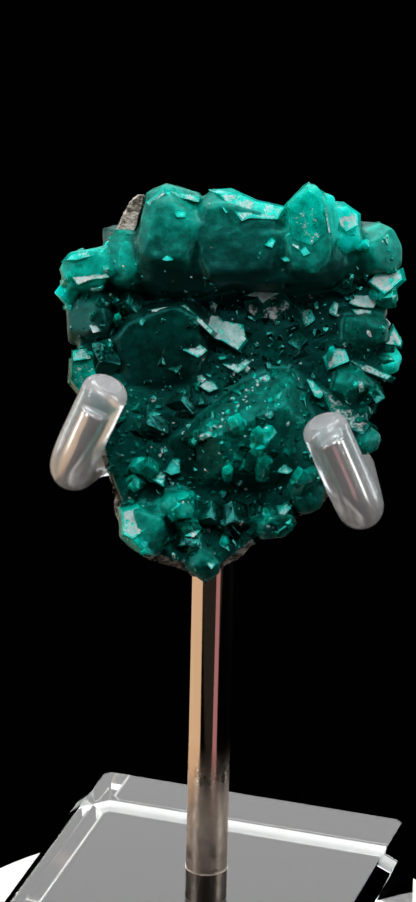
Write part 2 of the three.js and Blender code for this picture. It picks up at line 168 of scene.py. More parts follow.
def mesh_object(name, mesh):
    piece = bpy.data.objects.new(name, mesh)
    bpy.context.collection.objects.link(piece)
    return piece


def choose(piece, kind, wanted):
    """Goes into edit mode with only those edges or faces selected that pass a test."""
    edit_all(piece)
    bpy.ops.mesh.select_mode(type=kind)
    bpy.ops.mesh.select_all(action="DESELECT")
    object_mode()
    for part in piece.data.edges if kind == "EDGE" else piece.data.polygons:
        part.select = wanted(part)
    bpy.ops.object.mode_set(mode="EDIT")


def is_level(piece, edge):
    z1, z2 = (piece.data.vertices[i].co.z for i in edge.vertices)
    return abs(z1 - z2) < 1e-4


def smooth(piece, degrees):
    """Shades a piece smooth but for the edges sharper than an angle."""
    pick(piece)
    bpy.ops.object.shade_smooth_by_angle(angle=math.radians(degrees))


def cut_away(point, direction):
    """Cuts the picked block off beyond a plane and closes the cut."""
    bpy.ops.mesh.select_all(action="SELECT")
    bpy.ops.mesh.bisect(plane_co=point, plane_no=direction, use_fill=True, clear_outer=True, threshold=1e-5)


def set_face_values(mesh, name, values):
    layer = mesh.attributes.get(name) or mesh.attributes.new(name, "FLOAT", "FACE")
    layer.data.foreach_set("value", values)


def set_face_value(mesh, name, value):
    set_face_values(mesh, name, [value] * len(mesh.polygons))


def apply_all(piece):
    pick(piece)
    for modifier in list(piece.modifiers):
        bpy.ops.object.modifier_apply(modifier=modifier.name)


def take_out(piece):
    mesh = piece.data
    bpy.data.objects.remove(piece)
    if mesh.users == 0:
        bpy.data.meshes.remove(mesh)


def combine(piece, tool, how):
    """Joins a second closed shape to the first, or cuts with it."""
    change = piece.modifiers.new("combine", "BOOLEAN")
    change.operation = how
    change.solver = "MANIFOLD"
    change.object = tool
    apply_all(piece)
    take_out(tool)


def finished(piece, name, matrix):
    """Brings a shape modelled in millimetres to its place in metres, with its object at the origin."""
    piece.data.transform(Matrix.Scale(MM, 4) @ matrix)
    piece.name = name
    piece.data.name = name
    return piece


# Crystals


def clamp(value, low=0.0, high=1.0):
    return max(low, min(high, value))


# Painted shade and light: how much darker a crystal is for each millimetre towards its root,
# and lighter for each millimetre up.
PAINTED_ROOT_SHADE = 0.05
PAINTED_LIGHT_RISE = 0.06
TRAITS = ("tone", "rise", "pale_etch_and_painted_glint", "worn", "bare")


def start_tone(mesh, tone, rise):
    """A crystal's tone carried to the stone's middle, from its tone half way up its front, less painted light
    and shade.
    """
    heights = [vertex.co.z for vertex in mesh.vertices]
    front = -min(vertex.co.y for vertex in mesh.vertices)
    return tone - rise * (max(heights) + min(heights)) / 2 - PAINTED_ROOT_SHADE * front


def shade(mesh, tone, rise, bare, worn=0.3, pale_etch_and_painted_glint=0.0):
    """Sets a crystal's tone, the painted light it gains for each millimetre up, and how bare, worn and pale
    it is.
    """
    for name, value in zip(TRAITS, (start_tone(mesh, tone, rise), rise, pale_etch_and_painted_glint, worn, bare)):
        set_face_value(mesh, name, value)


def add_box(size, middle):
    """Adds a box of a size and picks it."""
    select_none()
    bpy.ops.mesh.primitive_cube_add(size=1, location=middle, scale=size)
    bpy.ops.object.transform_apply(location=True, rotation=True, scale=True)
    return bpy.context.object


def tilted_direction(degrees, tilt):
    """A direction at a bearing, tilted from straight up by an angle."""
    angle = math.radians(degrees)
    return Vector((math.sin(tilt) * math.cos(angle), math.sin(tilt) * math.sin(angle), math.cos(tilt)))


def cut_crystal(luck, depth, edge, unevenness, segments=1):
    """A six-sided crystal of unit half width with three end faces, its tip near the origin."""
    block = add_box((4, 4, depth), (0, 0, -depth / 2))
    edit_all(block)
    side = math.cos(math.pi / 6)
    for k in range(6):
        angle = math.radians(30 + 60 * k)
        direction = Vector((math.cos(angle), math.sin(angle), 0))
        cut_away(direction * side * (1 - unevenness * luck.random()), direction)
    for k in range(3):
        direction = tilted_direction(120 * k, END_ANGLE)
        cut_away(Vector((0, 0, -unevenness * luck.random())), direction)
    if edge > 0:
        bpy.ops.mesh.select_all(action="SELECT")
        bpy.ops.mesh.bevel(offset=edge, segments=segments, affect="EDGES", clamp_overlap=True)
    object_mode()
    return block


def crystal_matrix(tip, axis, radius, stretch=1.0, turn=0.0):
    """Carries a crystal of unit half width to its place on the stone."""
    up_axis = axis.normalized()
    across = Vector((0, 0, 1)).cross(up_axis)
    across = across.normalized() if across.length > 1e-3 else Vector((1, 0, 0))
    upright = up_axis.cross(across)
    basis = Matrix((across, upright, up_axis)).transposed().to_4x4()
    size = Matrix.Diagonal((radius, radius * stretch, radius, 1))
    spin = Matrix.Rotation(math.radians(turn), 4, "Z")
    return Matrix.Translation(tip) @ basis @ size @ spin


# The way a facet looks when it mirrors the main light to the viewer.
MIRRORING = Vector((0.02, -1, 0.36)).normalized()


def glinting_matrix(luck, tip, normal, radius):
    """Carries a crystal to its place with one of its end faces turned to mirror the main light."""
    wobble = Vector((luck.gauss(0, 0.09), luck.gauss(0, 0.06), luck.gauss(0, 0.09)))
    facing = (MIRRORING + wobble).normalized()
    for _ in range(8):
        aside = facing.orthogonal()
        aside.rotate(Matrix.Rotation(luck.uniform(0, 2 * math.pi), 3, facing))
        axis = (facing * math.cos(END_ANGLE) + aside.normalized() * math.sin(END_ANGLE)).normalized()
        if axis.dot(normal) > 0.35 and axis.y < 0.1:
            break
    across = (facing - axis * facing.dot(axis)).normalized()
    basis = Matrix((across, axis.cross(across), axis)).transposed().to_4x4()
    return Matrix.Translation(tip) @ basis @ Matrix.Scale(radius, 4), axis


def large_crystal(luck, tip, axis, radius, stretch, turn, length, tone, edge=0.07):
    crystal = cut_crystal(luck, length / radius, edge / radius, unevenness=0.14, segments=2)
    crystal.data.transform(crystal_matrix(stone_point(*tip), stone_point(*axis), radius, stretch, turn))
    shade(crystal.data, tone, PAINTED_LIGHT_RISE, bare=0.7)
    return crystal


def middle_of(corners):
    return Vector((sum(c[0] for c in corners), sum(c[1] for c in corners))) / len(corners)


def drop(faces, corner, middle):
    """How far back a sloping face lies at a corner, against its middle."""
    return (faces[0] * (corner[0] - middle.x) + faces[1] * (corner[1] - middle.y)) / faces[2]


def clockwise(point, middle=(0, 0)):
    """A key that sorts points clockwise round a middle."""
    return -math.atan2(point[1] - middle[1], point[0] - middle[0])


def faced_block(corners, out, faces, depth, spread=1.1):
    """A sharp block given by the corners of its front face seen square on, and the way that face looks."""
    middle = middle_of(corners)
    order = sorted(corners, key=lambda corner: clockwise(corner, middle))
    select_none()
    bpy.ops.mesh.primitive_circle_add(vertices=len(corners), fill_type="NGON")
    block = bpy.context.object
    edit_all(block)
    bpy.ops.mesh.extrude_region_move(TRANSFORM_OT_translate={"value": (0, 0, 1)})
    object_mode()
    level = [vertex for vertex in block.data.vertices if vertex.co.z < 0.5]
    raised = [vertex for vertex in block.data.vertices if vertex.co.z > 0.5]
    roots = sorted(level, key=lambda vertex: clockwise(vertex.co))
    fronts = sorted(raised, key=lambda vertex: clockwise(vertex.co))
    for corner, root, front in zip(order, roots, fronts):
        front.co = stone_point(*corner, out - drop(faces, corner, middle))
        wide = middle + (Vector(corner) - middle) * spread
        root.co = stone_point(*wide, out - depth)
    edit_all(block)
    bpy.ops.mesh.normals_make_consistent(inside=False)
    object_mode()
    return block


FACET_LIFT = 0.12
FACET_DEPTH = 1.8
FACET_SPREAD = 1.35
FACET_RIM = 0.14
# Painted light: how much lighter a facet is for each millimetre up.
FACET_PAINTED_LIGHT_RISE = 0.04


def facet_out(tree, corners, faces):
    """How far out a facet sits so that most of it clears the surface below."""
    middle = middle_of(corners)
    found = []
    for corner in [*corners, tuple(middle)]:
        hit = seen(tree, *corner)[0]
        if hit is not None:
            found.append(drop(faces, corner, middle) - hit.y)
    return sorted(found)[len(found) * 2 // 3] + FACET_LIFT


def facet(tree, corners, faces, tone, pale_etch_and_painted_glint):
    """A flat crystal face, pale on its front where it is etched and painted with a glint, and less so round
    the edge.
    """
    block = faced_block(corners, facet_out(tree, corners, faces), faces, FACET_DEPTH, FACET_SPREAD)
    looks = stone_point(*faces).normalized()
    shortest = min((Vector(a) - Vector(b)).length for a in corners for b in corners if a != b)
    choose(block, "FACE", lambda face: face.normal.dot(looks) > 0.97)
    bpy.ops.mesh.inset(thickness=min(FACET_RIM, shortest * 0.2), depth=-0.03)
    bpy.ops.mesh.select_mode(type="VERT")
    object_mode()
    shade(block.data, tone, FACET_PAINTED_LIGHT_RISE, bare=1.0)
    forward = [face for face in block.data.polygons if face.normal.dot(looks) > 0.9]
    front = max(forward, key=lambda face: face.area)
    for face in forward:
        block.data.attributes["pale_etch_and_painted_glint"].data[face.index].value = pale_etch_and_painted_glint * (1 if face == front else 0.55)
    return block


def even_out(piece, size):
    """Rebuilds the surface from even faces of a size."""
    remesh = piece.modifiers.new("even", "REMESH")
    remesh.mode = "VOXEL"
    remesh.voxel_size = size


def push_out(piece, name, size, strength, middle=0.5):
    """Makes the surface uneven by soft lumps of a size."""
    texture = bpy.data.textures.new(name, "CLOUDS")
    texture.noise_scale = size
    push = piece.modifiers.new(name, "DISPLACE")
    push.texture = texture
    push.strength = strength
    push.mid_level = middle


# A worn crystal stands on a wide root, but for one this near the stone's outline.
NEAR_OUTLINE = 1.6
WIDE_ROOT, NARROW_ROOT = 1.5, 1.1
CORNER_CUTS = 7


def soft_crystal(luck, corners, out, faces, depth, edge):
    """A large crystal with a few uneven corner faces, before it is worn."""
    within = inset_outline(NEAR_OUTLINE)
    clear = all(inside(within, *corner) for corner in corners)
    block = faced_block(corners, out, faces, depth, WIDE_ROOT if clear else NARROW_ROOT)
    middle = sum((vertex.co for vertex in block.data.vertices), Vector()) / len(block.data.vertices)
    edit_all(block)
    for k in range(CORNER_CUTS):
        angle = 2 * math.pi * (k + luck.random() * 0.7) / CORNER_CUTS
        direction = Vector((math.cos(angle), -luck.uniform(0.6, 1.3), math.sin(angle))).normalized()
        reach = max(direction.dot(vertex.co - middle) for vertex in block.data.vertices)
        cut_away(middle + direction * (reach - edge * luck.uniform(0.5, 1.5)), direction)
        # The next cut measures the mesh, which leaving edit mode brings up to date.
        object_mode()
        bpy.ops.object.mode_set(mode="EDIT")
    bpy.ops.mesh.select_all(action="SELECT")
    bpy.ops.mesh.remove_doubles(threshold=0.03)
    object_mode()
    return block


def tree_of(mesh):
    """A finder for places on a surface."""
    return BVHTree.FromPolygons([v.co for v in mesh.vertices], [p.vertices for p in mesh.polygons])


def seen(tree, across, height):
    """The place on the surface that shows from the front at a point, with its normal and its face."""
    return tree.ray_cast(stone_point(across, height, IN_FRONT), Vector((0, 1, 0)))[:3]


def crust_tone_with_painted_shadow(across, height):
    """The crust between the crystals, with painted shadow darkest in the hollow below the top row."""
    hollow = math.exp(-((across - 2.5) / 8) ** 2 - ((height - 5.0) / 4.2) ** 2)
    return 0.27 - 0.3 * hollow


def foot_shadow(across, height):
    """How much darker the worn crystals are along the foot of the top row."""
    return 0.3 * math.exp(-((across - 1) / 7.5) ** 4 - ((height - 7.2) / 1.7) ** 2)


# Worn crystals colour the surface up to this far from them.
COLOUR_REACH = 1.6


def pull(distance):
    """How strongly a crystal colours a place at a distance."""
    return 1 / (distance ** 2 + 0.02) ** 2


def blend_traits(body, lumps):
    """Gives each face the traits of the crystals round it, run together where they meet."""
    columns = {name: [] for name in TRAITS}
    for polygon in body.data.polygons:
        place = polygon.center
        total = pull(abs(-place.y - CRUST["front"]) + 0.2)
        start = (crust_tone_with_painted_shadow(place.x, place.z) - PAINTED_ROOT_SHADE * CRUST["front"]) * total
        rise, bare = 0.0, CRUST["bare"] * total
        for tree, lump_start, lump_rise, lump_bare in lumps:
            distance = tree.find_nearest(place, COLOUR_REACH)[3]
            if distance is None:
                continue
            weight = pull(distance)
            total += weight
            start += lump_start * weight
            rise += lump_rise * weight
            bare += lump_bare * weight
        start = start / total - foot_shadow(place.x, place.z)
        for name, value in zip(TRAITS, (start, rise / total, 0.0, 1.0, bare / total)):
            columns[name].append(value)
    for name, values in columns.items():
        set_face_values(body.data, name, values)


def soft_body(luck):
    """The worn crystals and the crust between them, run together as one soft shape."""
    body = outline_slab(inset_outline(0.8), CRUST["back"] - 0.5, CRUST["front"])
    lumps = []
    for corners, out, faces, depth, tone, rise, edge, bare in SOFT_CRYSTALS:
        lump = soft_crystal(luck, corners, out, faces, depth, edge)
        lumps.append((tree_of(lump.data), start_tone(lump.data, tone, rise), rise, bare))
        combine(body, lump, "UNION")
    even_out(body, 0.22)
    worn = body.modifiers.new("worn", "SMOOTH")
    worn.factor = 0.5
    worn.iterations = 2
    push_out(body, "swell", 2.2, 0.2)
    push_out(body, "grain", 0.75, 0.12)
    apply_all(body)
    blend_traits(body, lumps)
    return body


# Worn crystals: corners of the front face, how far out it is, the way it looks, depth, tone (the highest
# paint in glow), painted light rise for each millimetre up, how far the corners are cut back, and how bare of
# small crystals it stays.
SOFT_CRYSTALS = [
    (((-6.9, 11.6), (-2, 12.6), (1.4, 11.6), (4.2, 12.2), (8.0, 12.0), (8.2, 9.4), (6.8, 8.2), (3.5, 7.9),
     (0.4, 8.1), (-1.6, 7.7), (-4, 7.6), (-6.4, 8.6)), 4.5, (0, -0.12, 1), 5.0, 0.3, 0.07, 0.5, 0.8),
    (((8.0, 12.4), (10, 12.6), (12.8, 11.0), (12.6, 9.2), (9.5, 8.2), (7.8, 8.8)), 3.0, (0.1, -0.1, 1),
     3.6, 0.36, 0.06, 0.5, 0.85),
    (((-9.2, 12.3), (-6.6, 12.2), (-6.2, 8.4), (-7.2, 7.4), (-9.3, 8.0), (-10, 10.2)),
     2.9, (-0.15, -0.05, 1), 3.6, 0.42, 0.06, 0.5, 0.85),
    (((-6.9, 13.9), (-6.5, 15.1), (-5.1, 15.8), (-2.6, 15.1), (-1.9, 13), (-1.9, 10.2), (-3.4, 8.4),
     (-5.4, 8.0), (-7.0, 9.2), (-7.3, 11.4)), 5.0, (-0.08, 0.08, 1), 5.4, 0.5, 0.075, 0.9, 0.96),
    (((-2.3, 14.4), (-1.2, 15.4), (0.3, 14.7), (2.4, 13.7), (4.3, 13.4), (4.6, 11.2), (3.8, 9.0),
     (0.6, 8.2), (-1.7, 8.1), (-2.4, 10.2)), 4.8, (0.07, 0.05, 1), 5.2, 0.38, 0.075, 0.5, 0.94),
    (((4.55, 14.3), (6.1, 15.85), (6.8, 15.7), (7.45, 14.9), (7.9, 11.8), (8.0, 9.8), (6.8, 8.5),
     (4.9, 9.0), (4.5, 11.5)), 5.0, (-0.05, 0.08, 1), 5.4, 0.66, 0.075, 0.22, 0.97),
    (((7.7, 15.1), (8.3, 14.9), (8.6, 11.6), (7.9, 10.6)), 4.4, (0.35, 0.05, 1), 4.8, 0.84, 0.04, 0.2, 0.97),
    (((8.2, 14.2), (9.2, 14.2), (10.1, 13.4), (10.3, 11.2), (9.2, 10.5), (8.4, 11.0)), 3.8, (0.1, 0.0, 1),
     4, 1.12, 0.01, 0.25, 0.97),
    (((10.2, 11.4), (10.8, 12.4), (12, 12.8), (13, 12.3), (13.6, 11.1), (13.6, 9.8), (13.1, 9), (11.8, 8.9),
     (10.6, 9.1), (10, 10.2)), 3.5, (0.15, 0.1, 1), 4.2, 0.66, 0.08, 0.7, 0.97),
    (((-9.5, 11.5), (-7.6, 11.6), (-6.8, 9.8), (-7.2, 8), (-9, 7.8), (-9.9, 9.2)), 3.3, (-0.2, 0.1, 1),
     3.6, 0.72, 0.05, 0.6, 0.8),
    (((-13.4, 8.7), (-12.6, 8.8), (-12.4, 7.2), (-12.9, 6.3), (-13.7, 7)), 2.0, (-0.3, 0.05, 1),
     2.4, 0.85, 0.03, 0.45, 0.9),
    (((-7.4, 5.6), (-3.7, 6.2), (-2.4, 4.9), (-2.7, 1.6), (-4.8, -0.2), (-7.9, 0.4), (-9.2, 3.4)),
     2.2, (-0.08, -0.3, 1), 3.0, 0.22, 0.03, 0.35, 0.88),
    (((-13, 6.6), (-10.2, 7.6), (-9.2, 5.4), (-10.2, 3.4), (-12.8, 3.4)), 2.3, (-0.3, -0.1, 1),
     2.6, 0.2, 0.03, 0.6, 0.85),
    (((6.6, 10.9), (8.4, 11.1), (9.5, 9.9), (8.6, 8.3), (6.6, 8.3)), 3.8, (0.1, -0.15, 1),
     4.2, 0.45, 0.03, 0.5, 0.9),
    (((-3.4, -4.6), (-0.5, -2.0), (1.8, -0.1), (4.2, 0.8), (5.7, -0.6), (5.8, -4.3), (3, -7.2),
     (-0.6, -7.9), (-3.3, -6.8)), 3.6, (0.12, -0.1, 1), 4.2, 0.45, 0.025, 1.0, 0.45),
    (((-8.7, -10.4), (-7, -9.6), (-5.4, -10.4), (-5, -12), (-6, -13.6), (-7.6, -13.2), (-8.7, -12.2)),
     2.3, (-0.15, 0.1, 1), 2.8, 0.5, 0.04, 0.5, 0.9),
    (((-5.5, -9.6), (-4.8, -8.8), (-3.8, -8.7), (-3, -9.4), (-3.1, -10.5), (-4.6, -10.6)), 3.2, (0, 0.2, 1),
     3.4, 0.7, 0.03, 0.4, 0.5),
    (((8.6, 1.2), (10.4, 1.4), (11, 0), (9.6, -1.2), (8.2, -0.4)), 2.9, (0.2, 0, 1),
     3.2, 0.48, 0.04, 0.5, 0.7),
    (((9.2, 5.3), (11, 5.6), (12.6, 5), (12.4, 3.5), (10.4, 2.9), (9.1, 3.6)), 2.9, (0.2, -0.05, 1),
     3.2, 0.42, 0.04, 0.5, 0.75),
    (((12.4, 2.8), (13.2, 3), (13.7, 2.2), (13.4, 1.1), (12.3, 0.8)), 1.9, (0.4, 0, 1),
     2.4, 0.95, 0.04, 0.45, 0.95),
    (((5.2, -8.6), (6.6, -8), (7.5, -8.7), (7.2, -9.8), (6, -10.3), (5.2, -9.6)), 2.4, (0.15, -0.2, 1),
     2.8, 0.45, 0.03, 0.4, 0.8),
    (((-3.4, -14.7), (-2.6, -13.3), (-0.9, -13.7), (-0.9, -15), (-2, -15.7)), 1.5, (0, -0.2, 1),
     2, 0.38, 0.03, 0.35, 0.7),
    (((2.0, -10.8), (3.4, -10.2), (5, -10.6), (5.3, -11.1), (4.3, -12.1), (2.6, -12.3)),
     2.2, (0.1, -0.25, 1), 2.6, 0.5, 0.03, 0.4, 0.7),
    (((11.2, -3.4), (12, -4), (11.8, -5.1), (10.6, -5.6), (10.2, -4.2)), 1.7, (0.5, -0.1, 1),
     2.2, 0.5, 0.03, 0.4, 0.8),
    (((-13.5, 9.3), (-12.8, 10.4), (-9.9, 11.0), (-9.4, 9.2), (-10.2, 7.8), (-12.8, 7.6)),
     2.8, (-0.15, 0.02, 1), 3.4, 0.72, 0.03, 0.3, 0.95),
]

# Six-sided crystals: tip, long axis, half width, stretch up the face, turn, length, tone (the highest paint
# in glow), and width of the worn edges.
LARGE_CRYSTALS = [
    ((-8.6, 9.8, 3.2), (-0.3, 0.2, 1), 1.5, 1.25, 40, 4, 0.78, 0.12),
    ((-10.1, 11.0, 1.9), (-0.5, 0.5, 1), 0.7, 1.2, 25, 3, 1.0, 0.08),
    ((-9.2, 12.1, 1.5), (-0.4, 0.6, 1), 0.6, 1.0, 12, 3, 0.85, 0.06),
    ((-8.4, 6.6, 2.6), (-0.2, 0.1, 1), 1.5, 1.0, 12, 3.6, 0.3, 0.08),
    ((-10.4, 2.0, 2.3), (-0.35, 0, 1), 1.6, 1.1, 44, 3.4, 0.27, 0.08),
    ((-6.6, -3.2, 2.4), (-0.2, -0.05, 1), 1.9, 1.0, 33, 3.4, 0.26, 0.07),
    ((-3.9, -1.2, 2.2), (-0.1, 0.1, 1), 1.5, 1.0, 10, 3.4, 0.22, 0.07),
    ((-7.6, -6.5, 2.9), (-0.3, -0.05, 1), 0.8, 1.0, 8, 3.4, 0.78, 0.07),
    ((-7.8, -7.9, 2.6), (-0.3, -0.1, 1), 0.6, 1.3, 22, 3.4, 0.74, 0.06),
    ((-6.6, -6.4, 3.1), (-0.2, 0.3, 1), 1.0, 1.0, 31, 3.4, 0.58, 0.06),
    ((-3.6, -12.8, 2.2), (-0.1, -0.45, 1), 1.7, 1.0, 28, 3.4, 0.26, 0.08),
    ((0.4, -10.9, 2.7), (0.1, -0.25, 1), 1.6, 1.0, 38, 3.6, 0.24, 0.07),
    ((-1.6, -10.6, 2.6), (0.0, -0.2, 1), 1.2, 1.1, 20, 3.6, 0.34, 0.07),
    ((-3.2, -11.3, 2.7), (-0.1, 0.2, 1), 0.9, 1.0, 7, 3.4, 0.4, 0.07),
    ((5.6, 2.6, 1.6), (0.05, 0.1, 1), 1.7, 1.0, 41, 2.8, 0.12, 0.07),
    ((9.2, 8.3, 2.6), (0.1, 0.1, 1), 1.2, 1.0, 31, 3.5, 0.3, 0.07),
    ((11.6, -1.0, 1.6), (0.5, 0.0, 1), 1.3, 1.0, 50, 3, 0.35, 0.07),
    ((2.2, -3.3, 6.1), (0.05, 1.3, 1), 0.62, 1.1, 12, 2.6, 0.78, 0.1),
    ((2.85, -5.6, 5.3), (0.2, 0.8, 1), 0.66, 1.1, 31, 2.4, 0.62, 0.1),
    ((5.85, -6.8, 4.2), (0.3, 0.7, 1), 0.76, 1.1, 45, 2.6, 0.72, 0.1),
    ((0.3, -2.6, 5.2), (-0.2, 0.5, 1), 0.66, 1.1, 5, 2.4, 0.74, 0.1),
    ((-0.2, -6.5, 4.7), (0.0, 0.5, 1), 0.5, 1.0, 5, 2, 0.74, 0.08),
    ((8.1, 2.9, 3.4), (0.1, 0.4, 1), 0.3, 1.2, 5, 2, 0.78, 0.03),
    ((10.75, 11.2, 4.2), (0.1, 0.2, 1), 0.45, 1.0, 15, 2, 1.0, 0.04),
    ((-8.9, 5.5, 3.0), (0.1, 0.3, 1), 0.36, 1.0, 15, 2, 0.66, 0.06),
    ((12.9, 6.9, 2.2), (0.5, -0.2, 1), 1.3, 1.0, 15, 3, 0.62, 0.08),
]

# The way that many flat faces look, mirroring the main light.
GLINT = (0.02, 0.36, 1)

